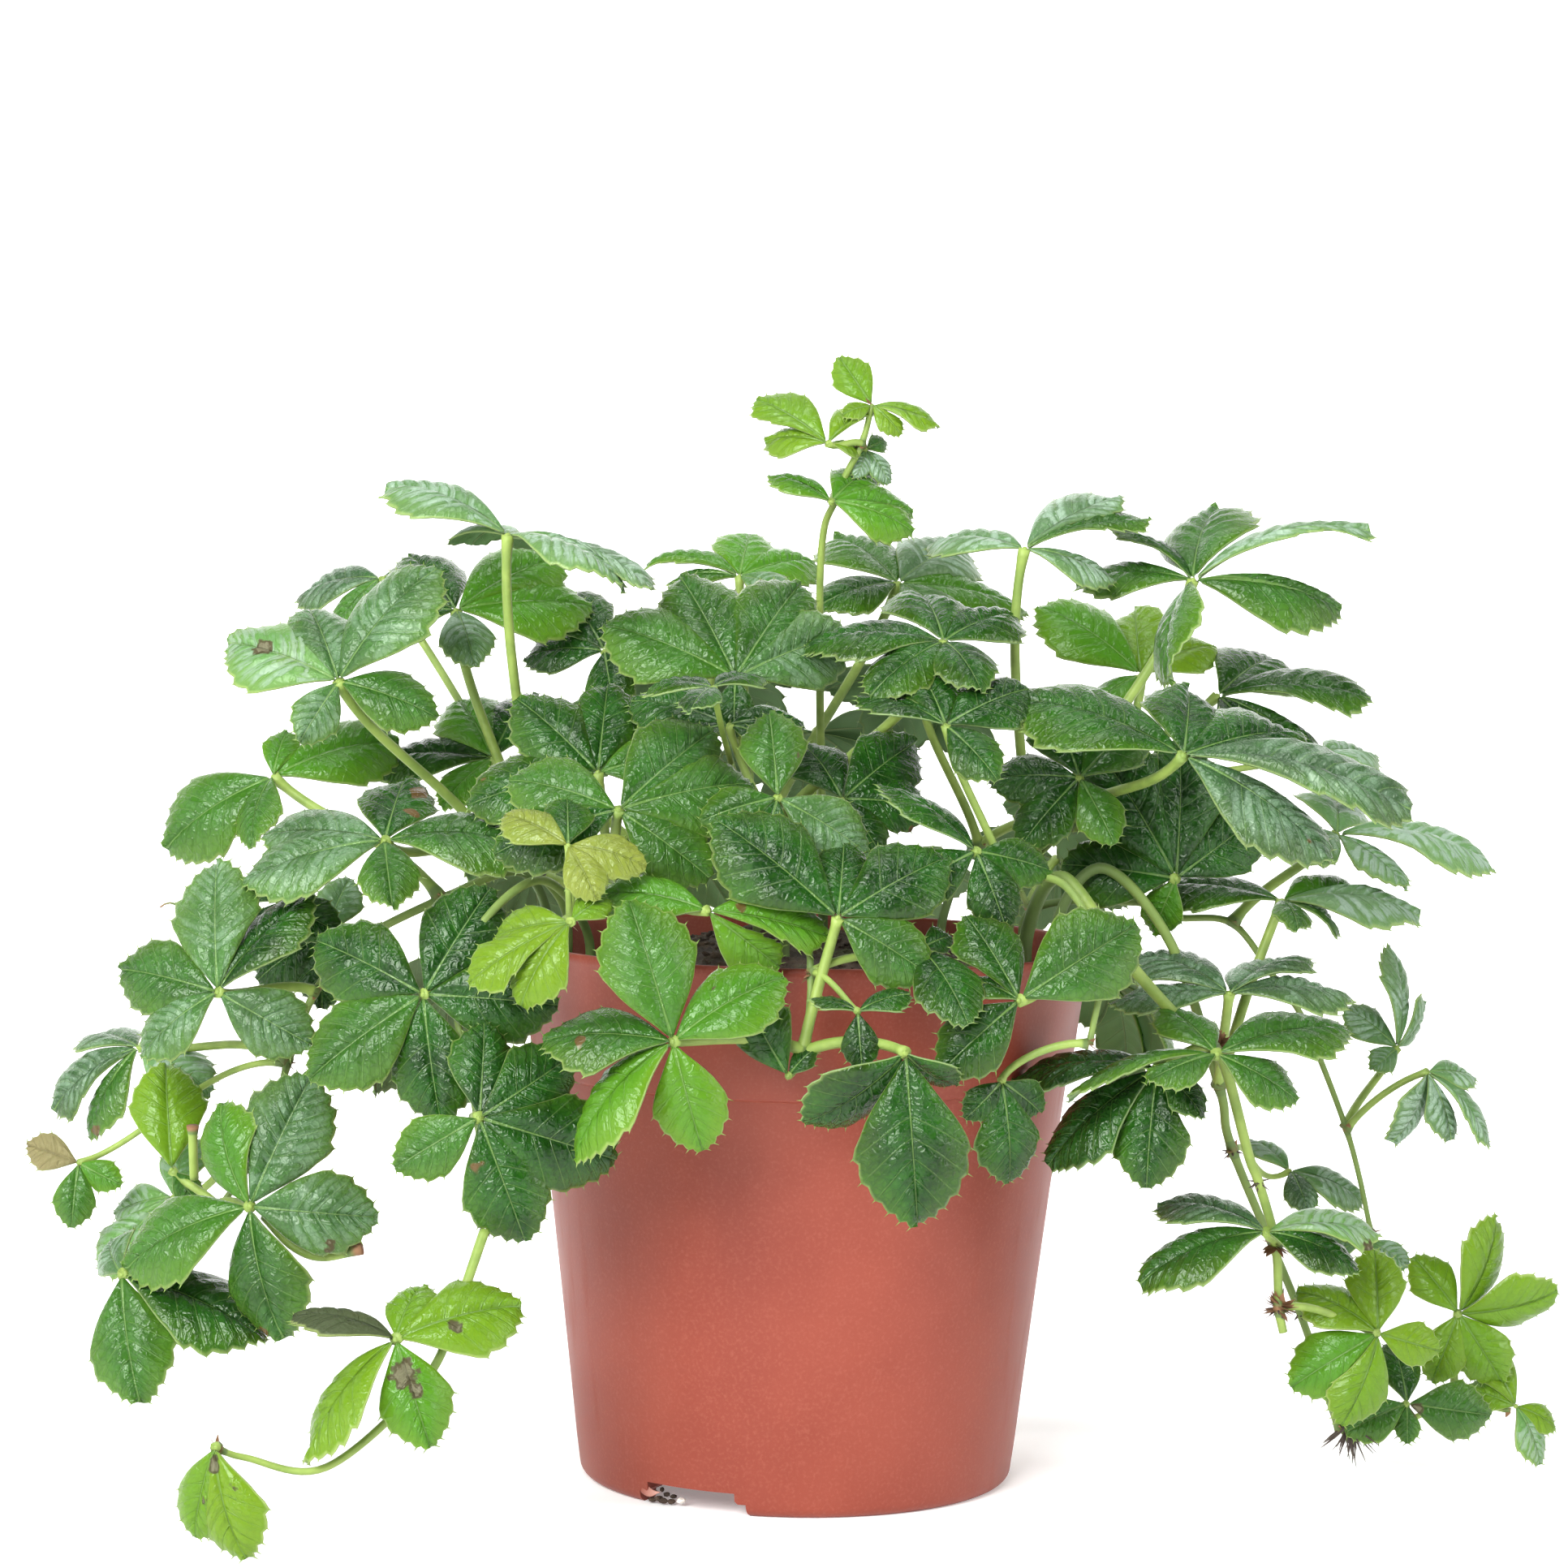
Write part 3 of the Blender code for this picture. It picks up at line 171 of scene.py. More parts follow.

# Each shoot's leaves: the stem point it grows from, the hub, the way it faces (turn, rise), its kind
# or the kind of each leaflet, and the leaflet tips from the hub, some with a roll in degrees; a kind is
# partly the leaflet's own colour and partly painted light and shade, so leaflets that lie in shade
# mostly have the darker kinds
LEAVES = {
    "shoot_left_far": [
        (4, (-116, -47, 104), (-12, 20), "glaze dark glaze glaze mid",
         [(-2, 12, 25), (18, 9, 19, -35), (19, -2, -10), (-15, 0, -13, 10), (-21, 11, 3)]),
        (7, (-108, -57, 63), (-8, 12), "glaze glaze mid mid bright",
         [(11, 10, 25), (25, 2, -2), (7, 0, -26, 20), (-25, 6, -14, 28), (-7, 10, 19, -30)]),
        (8, (-134, -50, 48), (-15, 30), "mid dark pale",
         [(5, -8, -24), (29, -3, -12, -35), (-4, 16, 4, -30)]),
        (7, (-126, -38, 67), (0, 15), "lime mid", [(-3, 11, 20), (5, 3, -7)]),
        (6, (-128, -22, 59), (-20, 30), "straw straw straw",
         [(-15, 2, -16), (-13, 7, -5), (2, 11, 11)]),
        (5, (-136, -17, 89), (-40, 30), "blue mid frost blue",
         [(-18, 4, -14, 2), (-10, 1, -19), (16, -9, -8, -38), (-13, 18, -1, 40)]),
        (5, (-147, -24, 66), (-20, 20), "mid bright dry",
         [(-1, -2, -13, -28), (9, -2, -4), (-11, 3, 3)]),
        (3, (-107, -24, 120), (-10, 25), "deep", [(-7, -1, -12), (-6, 9, 3), (13, -2, -6)]),
        (3, (-99, -8, 112), (-5, 25), "deep deep deep silver",
         [(-14, 1, -10), (0, -4, -15), (9, -2, -6), (4, 9, 11)]),
        (2, (-111, 0, 144), (-35, 40), "mid bright mid bright",
         [(-23, 6, -16, -20), (2, 8, 9, 20), (-3, -11, -14), (25, 12, 7, 8)]),
    ],
    "shoot_left_front": [
        (3, (-74, -63, 106), (-5, 18), "dark deep dark dark mid",
         [(-22, 11, 9), (12, 12, 20), (26, 3, -2), (4, -2, -25), (-22, 1, -17)]),
        (4, (-62, -76, 84), (10, 12), "deep deep deep dark mid",
         [(0, 10, 17), (17, 10, 11), (26, 9, -9), (9, 2, -24), (-16, 0, -10)]),
    ],
    "young_left": [
        (1, (-76, -92, 44), (5, 20), "lime lime fresh lime withered",
         [(4, 13, 8, -30), (23, 9, 5, -28), (7, -2, -20), (-16, -4, -23, 50), (-20, 5, 3, 55)]),
        (5, (-109, -97, 24), (-5, 12), "lime lime", [(6, 0, -21, 18), (-4, 3, -18, 18)]),
    ],
    "shoot_left_crown": [
        (2, (-84, -40, 134), (0, 48), "dark mid mid glaze glaze",
         [(2, 21, 11), (32, 4, -3, -20), (3, -14, -12), (-28, 0, -9), (-25, 9, 0)]),
        (2, (-95, -26, 165), (0, 38), "glaze glaze mid glaze straw",
         [(-8, 18, 14), (19, 8, 23, -22), (20, 0, -7), (-7, -6, -12, -20), (-24, 12, 7)]),
        (1, (-62, -15, 195), (5, 75), "silver frost silver silver silver",
         [(-26, 10, 9, -2), (-9, 22, -2), (12, 19, -5, -15), (24, -12, -10, -10),
          (30, -10, -10, -15)]),
        (1, (-93, 41, 185), (-30, 50), "blue mid", [(-19, 13, -5), (-10, -7, -13), (16, -1, 2)]),
        (1, (-74, 7, 179), (10, 50), "dark bright bright silver",
         [(-12, 20, 11), (21, 16, 11), (28, 9, 1), (5, -13, -11), (-18, 0, -4)]),
        (2, (-66, 9, 148), (-10, 45), "dark bright dark bright",
         [(-27, 8, -3, 15), (-10, -8, -10), (7, 19, 13), (-9, 20, 11)]),
    ],
    "shoot_front_left": [
        (1, (-37, -56, 142), (5, 30), "mid mid mid mid dark",
         [(-22, 8, 5), (18, 18, 15), (26, 12, 5), (18, 0, -13), (-24, -1, -9)]),
        (1, (-42, -35, 148), (0, 30), "dark dark mid dark",
         [(-17, 10, 14), (1, 16, 17), (16, 7, 3), (-26, -1, -7)]),
        (2, (-19, -71, 124), (15, 35), "bright fresh fresh",
         [(-21, 6, 2, 12), (14, 4, -11, 30), (23, 5, -5)]),
    ],
    "young_front": [
        (2, (-46, -70, 136), (0, 45), "olive olive olive dark",
         [(-13, 8, 5), (15, 1, -4), (6, -6, -10), (-1, 13, 8)]),
        (2, (-45, -78, 122), (-15, 30), "lime lime lime lime",
         [(-15, 7, -4), (-19, -1, -12), (-9, -2, -16), (7, 7, 4)]),
    ],
    "shoot_front_middle": [
        (4, (-25, -82, 100), (0, 8), "mid bright fresh fresh mid",
         [(-9, 8, 26), (21, 6, 12, -30), (6, 2, -21), (-18, 0, -23, 50), (-25, 6, -1, 40)]),
        (1, (-6, -56, 145), (8, 25), "mid glaze dark mid",
         [(-2, 12, 16, -8), (18, 2, -11), (-4, -4, -16), (-15, 0, -5)]),
        (1, (7, -27, 143), (5, 30), "deep deep deep dark",
         [(-8, 13, 10), (15, 14, 11), (18, 5, -2), (8, -3, -11)]),
        (1, (-16, -35, 158), (-5, 50), "deep deep",
         [(-20, 10, 4), (-16, -1, -7), (13, 0, -5), (15, 7, 0)]),
        (4, (6, -71, 123), (0, 28), "dark deep deep mid",
         [(-24, 8, 18), (1, 14, 13), (21, 12, 11), (18, 0, -11)]),
        (3, (10, -79, 106), (0, 20), "deep deep deep",
         [(1, -2, -11), (-9, 3, 2, 48), (10, 4, 3, -48)]),
        (4, (19, -85, 99), (5, 6), "deep dark deep",
         [(-19, 3, -14, -45), (3, 2, -33), (10, 8, -7, 50)]),
        (3, (22, -66, 117), (20, 25), "deep deep deep", [(9, -14, -13), (6, 6, 2), (-5, -6, -3)]),
        (4, (-3, -75, 93), (-25, 15), "dark dark", [(-9, 2, 16), (5, 2, 5)]),
    ],
    "shoot_front_right": [
        (3, (41, -73, 108), (5, 22), "dark mid dark dark",
         [(-10, 11, 15), (23, 10, 14), (-15, -2, -14), (-11, 5, 3, 30)]),
        (4, (38, -70, 92), (20, 8), "dark dark deep", [(2, 2, -20), (8, 8, -7), (-7, -3, -7)]),
        (1, (33, -54, 135), (5, 30), "deep dark deep deep",
         [(-19, 8, 12, 38), (15, 5, -4), (6, -4, -15), (-14, -2, -9)]),
        (1, (27, -43, 159), (-5, 45), "deep deep dark deep",
         [(-17, 12, 4, 22), (17, 12, 7), (10, -8, -10), (-5, 16, 10)]),
    ],
    "shoot_middle": [
        (1, (-15, -22, 167), (0, 30), "mid mid mid glaze deep",
         [(-27, 8, 10), (-12, 17, 20), (13, 18, 19), (23, 12, 9), (0, -6, -12)]),
        (1, (-19, -50, 166), (-10, 72), "dark deep dark", [(-13, 12, -1), (-4, -12, -4), (9, 12, 1)]),
        (1, (-15, 16, 187), (0, 60), "bright bright pale mid bright",
         [(2, 20, 9), (16, 15, 3), (11, -7, -4), (-15, 6, -2), (-20, 10, 2)]),
        (1, (19, 30, 186), (15, 62), "mid bright mid silver dark",
         [(-14, 25, 9), (28, 10, -6), (12, -14, -10), (15, 25, 7), (-17, -10, -5)]),
        (1, (27, -23, 175), (0, 66), "dark",
         [(-28, 4, -2), (-15, -13, -11), (7, -16, -9), (15, 20, 5), (-5, 27, 8)]),
        (1, (-43, 10, 171), (-5, 40), "deep dark mid dark",
         [(-17, 6, -2), (-9, 16, 11), (14, 6, 0), (3, -9, -13)]),
    ],
    "young_top": [
        (3, (3, -5, 215), (-10, 35), "lime", [(-15, 9, 9), (9, 8, 8), (6, 8, -1), (-13, 7, 0, 12)]),
        (2, (4, -4, 203), (10, 45), "bright bright fresh bright",
         [(-13, 6, 5, 10), (17, 7, -2), (17, 2, -6), (8, 14, 6)]),
        (4, (12, 0, 223), (10, 40), "lime",
         [(-7, 4, 10, -28), (14, 1, -4, -20), (6, -2, -6), (-6, -3, -2)]),
        (3, (11, 4, 214), (30, 30), "silver mid frost", [(5, 0, -7), (4, 5, 2), (-2, -3, -6)]),
    ],
    "shoot_right_crown": [
        (1, (44, -4, 194), (5, 62), "silver silver mid silver",
         [(-19, 16, 0), (20, 12, 11), (26, 7, 6), (19, 5, -7)]),
        (1, (72, 38, 167), (-20, 50), "fresh lime lime bright",
         [(-22, 9, 14), (0, 21, 14), (17, 8, 6), (-12, -4, -8)]),
        (1, (80, 8, 188), (5, 55), "mid silver mid mid mid dark",
         [(8, 28, 15, -38), (37, 1, 11, -32), (32, 7, -6, 5), (-6, -22, -20, 58), (-24, 8, -1, 10),
          (-16, 12, 10, 22)]),
        (2, (88, 31, 163), (20, 55), "dark dark dark dark",
         [(15, 24, 7), (33, 0, 0, -12), (23, -2, -14), (9, -12, -13)]),
        (2, (109, 19, 152), (40, 45), "silver", [(13, 15, -2, -20), (12, 1, -10, 12), (4, -3, -10)]),
        (2, (74, -44, 154), (8, 48), "dark dark dark blue blue",
         [(-33, 13, 10, 10), (3, 25, 12), (25, 19, 4), (45, -2, -10, -22), (29, -6, -20, -8)]),
        (2, (76, -12, 127), (0, 12), "dark deep deep deep bright",
         [(-23, 6, 2), (-17, 8, 27), (1, 10, 28), (18, 8, 13), (-4, 6, -12)]),
        (1, (55, -24, 148), (0, 30), "deep deep mid mid dark",
         [(-18, 5, -1), (-6, 14, 15), (13, 12, 12), (7, -5, -13), (-12, -4, -14)]),
    ],
    "shoot_right": [
        (4, (81, -54, 96), (8, 45), "mid",
         [(-9, 16, 7), (27, 10, 4, -20), (16, 0, -9, -5), (-14, -6, -5), (-29, 0, -9, 35)]),
        (4, (70, -47, 92), (-12, 25), "deep dark deep deep",
         [(-21, 2, -20, 28), (-2, -5, -23, -5), (9, -4, -9, -28), (-28, 9, -4, 45)]),
        (8, (93, -42, 59), (-5, 45), "mid blue straw dark",
         [(-25, 0, -11, 22), (-21, 11, 3, 28), (23, 4, -1, -22), (18, -4, -7, -18)]),
        (9, (118, -26, 36), (-5, 15), "lime lime fresh lime lime",
         [(0, 9, 16), (-16, 7, 7, 35), (-17, 3, -12), (-7, 0, -19, -30), (13, 3, -4)]),
    ],
    "shoot_right_far": [
        (3, (99, -3, 122), (5, 60), "dark bright frost mid mid",
         [(-26, 10, 1, 8), (18, 14, 1), (29, 2, -3, -18), (13, 10, -7), (2, -12, -5, -22)]),
        (3, (86, -27, 105), (10, 62), "blue",
         [(-19, 20, 5), (-24, 1, -3, 12), (16, 22, 5, -25), (26, 10, -2, -18)]),
        (4, (104, 14, 63), (20, 50), "frost blue silver",
         [(-8, 10, 5), (3, -8, -8), (16, 2, -7, -15)]),
        (6, (127, -8, 18), (5, 30), "mid dark mid mid",
         [(-13, -2, -6), (-2, 10, 11), (18, 4, -3, 18), (0, -2, -8, 10)]),
    ],
    "shoot_right_thin": [
        (3, (112, 12, 135), (20, 60), "frost frost frost pale",
         [(1, 24, 6), (33, -1, -7, -18), (13, -12, -10, -12), (-12, -16, -4)]),
        (7, (127, 20, 89), (20, 25), "silver silver silver silver",
         [(-1, 8, 21, 40), (7, 11, 9, 58), (-11, 4, 8, -2), (-6, -6, -4)]),
        (7, (131, 3, 86), (20, 28), "silver silver silver silver",
         [(11, 7, -2, -25), (13, -3, -15, -35), (5, -2, -14, -20), (-8, -6, -14, -60)]),
        (9, (121, 16, 48), (-10, 40), "silver silver frost",
         [(-13, 3, -3), (-4, 11, 3, 30), (9, -2, -5)]),
    ],
    "young_right": [
        (2, (139, 4, 35), (0, 10), "lime",
         [(-9, 5, 11), (8, 5, 20, 35), (21, 1, 5, 40), (10, 2, -15), (-5, 1, -15)]),
        (3, (152, 6, 15), (15, 25), "lime lime straw lime",
         [(-8, 5, 12), (-11, 2, 3), (5, -2, -12, -20), (9, 2, -5, -15)]),
    ],
}

# The side of the plant away from the photograph: shoot, stem point, and the leaf's place as the
# angle about the pot, distance from its axis and height
BACK_LEAVES = [
    ("shoot_back_right", 1, 58, 46, 165), ("shoot_back_left", 1, 118, 44, 168),
    ("shoot_back_right", 1, 34, 74, 140), ("shoot_back_middle", 1, 88, 69, 152),
    ("shoot_back_left", 1, 146, 72, 143), ("shoot_back_right", 2, 52, 92, 124),
    ("shoot_back_middle", 2, 78, 84, 122), ("shoot_back_left", 2, 109, 88, 126),
    ("shoot_back_left", 2, 132, 90, 120), ("shoot_back_right", 3, 42, 92, 98),
    ("shoot_back_middle", 3, 90, 96, 94), ("shoot_back_left", 3, 146, 94, 94),
    ("shoot_back_right", 3, 64, 96, 78), ("shoot_back_left", 3, 116, 98, 76),
]
BACK_SIZE = 28.0
FAN = [(-28, 1.0), (30, 0.97), (88, 0.84), (-86, 0.84)]
# Kinds for the far side's leaves in turn; the darker ones are partly painted shade for the plant's
# shaded inside
BACK_TONES = ["dark", "deep", "mid", "deep", "bright"]
PINWHEEL_ROLL = 4.0

# A fine curling tendril, thinner towards its end
TENDRILS = [
    [(-119, -28, 114), (-124, -29, 118), (-128, -30, 120), (-130, -30, 119)],
]
TENDRIL_RADIUS = 0.45
# Cut leaf stalks, swollen and brown at their bare ends
CUT_STALKS = [
    [(-106, -50, 60), (-100, -54, 55), (-94, -55, 53), (-86, -56, 55)],
    [(-121, -42, 66), (-121, -44, 72), (-121, -45, 77)],
]
CUT_STALK_RADIUS = 0.95
# Brown spots on leaves, each with its middle and radius
BLEMISHES = [
    ((-74, -95, 38), 3.4), ((-72, -95, 35), 1.8), ((-65, -91, 46), 2.2), ((-68, -95, 42), 1.5),
    ((-129, -51, 56), 1.9), ((-122, -54, 60), 1.3), ((-92, -59, 56), 2.0),
    ((-109, -98, 21), 1.9), ((-105, -100, 17), 1.6), ((-111, -98, 14), 1.2),
    ((-10, -74, 116), 2.4), ((-17, -79, 110), 1.5), ((-2, -52, 153), 1.0), ((-12, -52, 154), 0.9),
    ((-107, -38, 120), 2.2), ((-111, -20, 171), 2.6), ((114, -44, 57), 2.2), ((129, -9, 17), 2.0),
]
# The torn sliver of plastic at the front drain notch, and what has dropped through it
LIP_ROOT = (-31.0, -32.6, 3.4)
LIP_REACH = (3.4, -1.6, -0.9)
DROPPED = [
    ((-27.6, -33.6, 1.2), 0.95), ((-26.6, -34.4, 0.9), 0.75), ((-28.4, -33.0, 2.4), 0.7),
    ((-26.0, -33.4, 2.0), 0.8), ((-25.0, -34.6, 0.8), 0.65), ((-27.0, -33.0, 2.9), 0.6),
    ((-28.9, -33.2, 0.9), 0.7), ((-24.6, -33.8, 1.7), 0.55),
]
GRIT = ((-23.0, -35.6, 1.3), 0.95)
# Dry scales where a stalk leaves its stem, as their number and size: few as a rule, and a rough ring
# of them at the right runner's outer points
SCALES = (4, 1.0)
ROUGH_SCALES = (36, 1.9)
ROUGH_SHOOT = "shoot_right"
FIRST_ROUGH_POINT = 3
# Tufts of dry roots: the place they grow from, the way they hang, their length and number
ROOT_TUFTS = [
    ((115, -8, 13.5), (0.1, -0.1, -1.0), 9.5, 44),
    ((92, -34, 68), (0.2, -0.3, -0.6), 3.0, 22),
    ((97, -32, 42), (0.3, -0.2, -0.8), 3.2, 18),
    ((89, -12, 71), (-0.4, 0.0, -0.8), 3.0, 10),
    ((104, -10, 37), (-0.5, 0.0, -0.7), 2.6, 10),
    ((-60, -73, 62), (0.0, -0.2, -1.0), 2.6, 8),
]

# The studio's round floor in metres: how far it reaches, the radius of the bend into its wall, and how
# far its middle lies in front of the plant
FLOOR_REACH = 6.0
FLOOR_BEND = 0.8
FLOOR_SHIFT = -3.7
# Soft boxes: name, place, width and height in metres, power in watts, and the place that each faces
PLANT_MIDDLE = (0.0, 0.0, 0.12)
LIGHTS = [
    ("key_light", (-0.55, -1.15, 0.85), (0.85, 0.8), 36.5, PLANT_MIDDLE),
    ("top_light", (0.0, -0.1, 1.4), (0.7, 0.5), 8.5, PLANT_MIDDLE),
    ("right_light", (1.1, -0.5, 0.6), (0.3, 0.9), 8.0, PLANT_MIDDLE),
    ("left_light", (-1.15, -0.35, 0.6), (0.3, 0.9), 3.5, PLANT_MIDDLE),
    ("wall_light", (0.0, 0.9, 1.6), (2.0, 0.3), 55.0, (0.0, 2.3, 0.6)),
]


def millimetres(points):
    """Points as an array."""
    return np.array([tuple(point) for point in points], float)


def curve_through(points, spacing):
    """A smooth line through points, with samples about the given spacing apart."""
    points = millimetres(points)
    if len(points) < 3:
        steps = max(2, int(np.linalg.norm(points[-1] - points[0]) / spacing))
        share = np.linspace(0, 1, steps)[:, None]
        return points[0] * (1 - share) + points[-1] * share
    padded = np.vstack([2 * points[0] - points[1], points, 2 * points[-1] - points[-2]])
    pieces = []
    for k in range(len(points) - 1):
        before, start, end, after = padded[k:k + 4]
        steps = max(2, int(np.linalg.norm(end - start) / spacing))
        t = np.linspace(0, 1, steps, endpoint=False)[:, None]
        pieces.append(0.5 * (
            2 * start + (end - before) * t + (2 * before - 5 * start + 4 * end - after) * t ** 2
            + (3 * start - before - 3 * end + after) * t ** 3))
    return np.vstack([*pieces, points[-1:]])


def facing_vector(turn, rise):
    """The way a leaf's upper face looks: turn 0 looks along -Y, rise 90 looks up."""
    turn, rise = math.radians(turn), math.radians(rise)
    level = math.cos(rise)
    return Vector((level * math.sin(turn), -level * math.cos(turn), math.sin(rise)))


def around(facing, tip, start):
    """The angle of a leaflet about the way its leaf faces."""
    return math.atan2(tip.dot(facing.cross(start)), tip.dot(start)) % TAU


def back_leaves():
    """Each far shoot's leaves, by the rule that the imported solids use."""
    chance = random.Random(12)
    leaves = {}
    for k, (shoot, point, turn, distance, height) in enumerate(BACK_LEAVES):
        angle = math.radians(turn)
        hub = (distance * math.cos(angle), distance * math.sin(angle), height)
        rise = 22 + (height - 72) * 0.32 + chance.uniform(-6, 6)
        face = (turn + 90 + chance.uniform(-14, 14), rise)
        leaf = (point, hub, face, BACK_TONES[k % len(BACK_TONES)], fan_tips(face, chance))
        leaves.setdefault(shoot, []).append(leaf)
    return leaves


def fan_tips(face, chance):
    """Four leaflet tips spread about the downhill direction of a leaf."""
    facing = facing_vector(*face)
    downhill = facing_vector(face[0], face[1] - 90)
    swing = chance.uniform(-25, 25)
    size = BACK_SIZE * chance.uniform(0.9, 1.05)
    tips = []
    for angle, share in FAN:
        along = downhill.copy()
        along.rotate(Quaternion(facing, math.radians(angle + swing)))
        tips.append((along * 0.97 - facing * 0.24) * size * share)
    return tips


def stalk_radius(tips):
    """A leaf stalk's radius, which grows with its leaf."""
    longest = max(Vector(tip[:3]).length for tip in tips)
    return STALK_RADIUS * min(1.5, max(0.9, longest / 19.0))


def stalk_offset(k):
    """A small step aside, so that stalks from one stem point don't share their ends."""
    angle = 2.4 * k
    return Vector((math.cos(angle), math.sin(angle), 0.8 * math.sin(1.7 * k))) * 0.3


def stalk_route(start, hub, facing, tips):
    """A leaf stalk's line from the stem to behind the hub, or None where the stem carries it."""
    start, hub = Vector(start), Vector(hub)
    reach = (hub - start).length
    if reach < SHORTEST_STALK:
        return None
    spread = sum((Vector(tip[:3]).normalized() for tip in tips), Vector()) / len(tips)
    straight = (hub - start) / reach
    arrive = (facing * 0.75 + spread * 0.5 + straight * 0.5).normalized()
    leave = (straight + Vector((0, 0, 0.55))).normalized()
    first = start + leave * reach * 0.32
    second = hub - arrive * reach * 0.32
    route = []
    for t in np.linspace(0, 1, max(10, int(reach / 1.6))):
        s = 1 - t
        route.append(start * s ** 3 + first * 3 * s * s * t + second * 3 * s * t * t + hub * t ** 3)
    return millimetres(route)


class Sheet:
    """Gathers patches of points and quads with values at the points, and makes one mesh of them."""

    def __init__(self, *values):
        self.points = []
        self.faces = []
        self.finishes = []
        self.values = {name: [] for name in values}
        self.count = 0

    def patch(self, grid, finish=0, wrap=False, flip=False, **values):
        """Add a grid of points, rows by columns; wrap closes each row into a ring."""
        rows, columns = grid.shape[:2]
        number = np.arange(rows * columns).reshape(rows, columns) + self.count
        after = np.roll(number, -1, axis=1) if wrap else number[:, 1:]
        here = number if wrap else number[:, :-1]
        quads = np.stack([here[:-1], after[:-1], after[1:], here[1:]], -1).reshape(-1, 4)
        if flip:
            quads = quads[:, ::-1]
        self.points.append(grid.reshape(-1, 3))
        self.faces.append(quads)
        self.finishes.append(np.full(len(quads), finish))
        for name, store in self.values.items():
            value = np.asarray(values.get(name, 0.0), float)
            vector = name == "place"
            shape = (rows, columns, 3) if vector else (rows, columns)
            store.append(np.broadcast_to(value, shape).reshape(rows * columns, -1))
        self.count += rows * columns
        return number

    def quads(self, faces, finish=0):
        """Add faces between points that are already there."""
        faces = np.asarray(faces)
        self.faces.append(faces)
        self.finishes.append(np.full(len(faces), finish))

    def build(self, name, finishes):
        """The object, with its points in metres and smooth shading."""
        mesh = bpy.data.meshes.new(name)
        points = np.vstack(self.points) * MM
        faces = np.vstack(self.faces)
        mesh.from_pydata(points.tolist(), [], faces.tolist())
        for finish in finishes:
            mesh.materials.append(finish)
        mesh.polygons.foreach_set("material_index", np.concatenate(self.finishes).astype(np.int32))
        mesh.polygons.foreach_set("use_smooth", np.ones(len(faces), bool))
        for value, store in self.values.items():
            data = np.vstack(store).astype(np.float32)
            kind = "FLOAT_VECTOR" if data.shape[1] == 3 else "FLOAT"
            slot = mesh.attributes.new(value, kind, "POINT")
            slot.data.foreach_set("vector" if data.shape[1] == 3 else "value", data.ravel())
        mesh.update()
        item = bpy.data.objects.new(name, mesh)
        bpy.context.scene.collection.objects.link(item)
        return item


def margin_width(share):
    """A leaflet's half-width along it, wedge-shaped at its foot and widest past its middle."""
    widest = 0.577
    foot = (1 - (1 - share) ** 2) ** 1.3
    return foot * np.clip(1 - share ** 2.15, 0, 1) ** 0.8 / widest


def leaflet_rows(teeth):
    """Shares along the midrib: plain rows at the foot, then four to each tooth."""
    rows = list(np.linspace(0.03, FIRST_TOOTH, 5, endpoint=False))
    pitch = (1 - FIRST_TOOTH) / teeth
    for k in range(teeth):
        rows += [FIRST_TOOTH + (k + step) * pitch for step in (0.0, 0.36, TOOTH_PEAK, 0.86)]
    return np.array([*rows, 1.0])


def leaflet_outline(props, length, gaps, t, v):
    """Each point's share along the midrib, and the half-width there, held within the leaf's gaps."""
    size = np.abs(v)
    reach = t + ROW_SWEEP * np.sin(math.pi * t)
    half = props.leaflet_width * length * margin_width(reach)
    for sign, gap in zip((-1, 1), gaps):
        limit = reach * length * math.tan(min(gap, 2.6) / 2) * 1.3
        half = np.where(v * sign > 0, np.minimum(half, limit), half)
    half = np.broadcast_to(half, (len(t), len(COLUMNS))) + 0.02
    return t + (reach - t) * size ** 1.35, half


def tooth_count(length):
    """The teeth on each edge of a leaflet, more on a long one."""
    return 4 if length < 16 else 5 if length < 27 else 6


def edge_teeth(phase, t, v, teeth, chance):
    """How far each row's tooth stands out on either edge, each tooth a little uneven."""
    step = phase - np.floor(phase)
    climb, fall = (step / TOOTH_PEAK) ** 0.7, (1 - step) / (1 - TOOTH_PEAK)
    tooth = np.where(step < TOOTH_PEAK + 0.01, climb, fall) * (t > FIRST_TOOTH - 0.01)
    uneven = np.array([[chance.uniform(0.6, 1.3) for _ in range(2)] for _ in range(teeth + 1)])
    number = np.floor(phase).astype(int)[:, 0]
    return tooth * (t < 0.999) * uneven[number][:, (v[0] > 0).astype(int)]


def blade_rise(props, length, s, y, t, v, phase, chance):
    """How high each point stands: the arch, the quilting between veins, the ruffle and the twist."""
    size = np.abs(v)
    quilt = np.abs(np.sin(math.pi * (phase - TOOTH_PEAK))) ** 1.3 * size ** 0.6 * (1 - size ** 4)
    quilt = quilt * np.clip((1.02 - t) * 5, 0, 1) * np.clip(t * 6, 0, 1)
    turns = chance.uniform(1.1, 1.9) * t + chance.random()
    wave = np.sin(TAU * turns + (v > 0) * chance.uniform(1, 4))
    arch = ARCH * (1 + chance.uniform(-0.25, 0.25))
    z = 4 * arch * s * (1 - s) * length
    z = z - EDGE_DROP * length * (y / (HALF_WIDTH * length)) ** 2
    z = z + props.quilting / MM * length / FULL_LENGTH * quilt
    z = z - 0.35 * np.exp(-(v / 0.06) ** 2) * length / FULL_LENGTH
    z = z + props.ruffle * length * wave * size ** 2 * np.clip(t * 2, 0, 1)
    z = z + chance.uniform(-0.05, 0.05) * v * s * length
    return z + chance.uniform(0.01, 0.04) * length * 4 * size * (1 - size) * np.sin(math.pi * t)


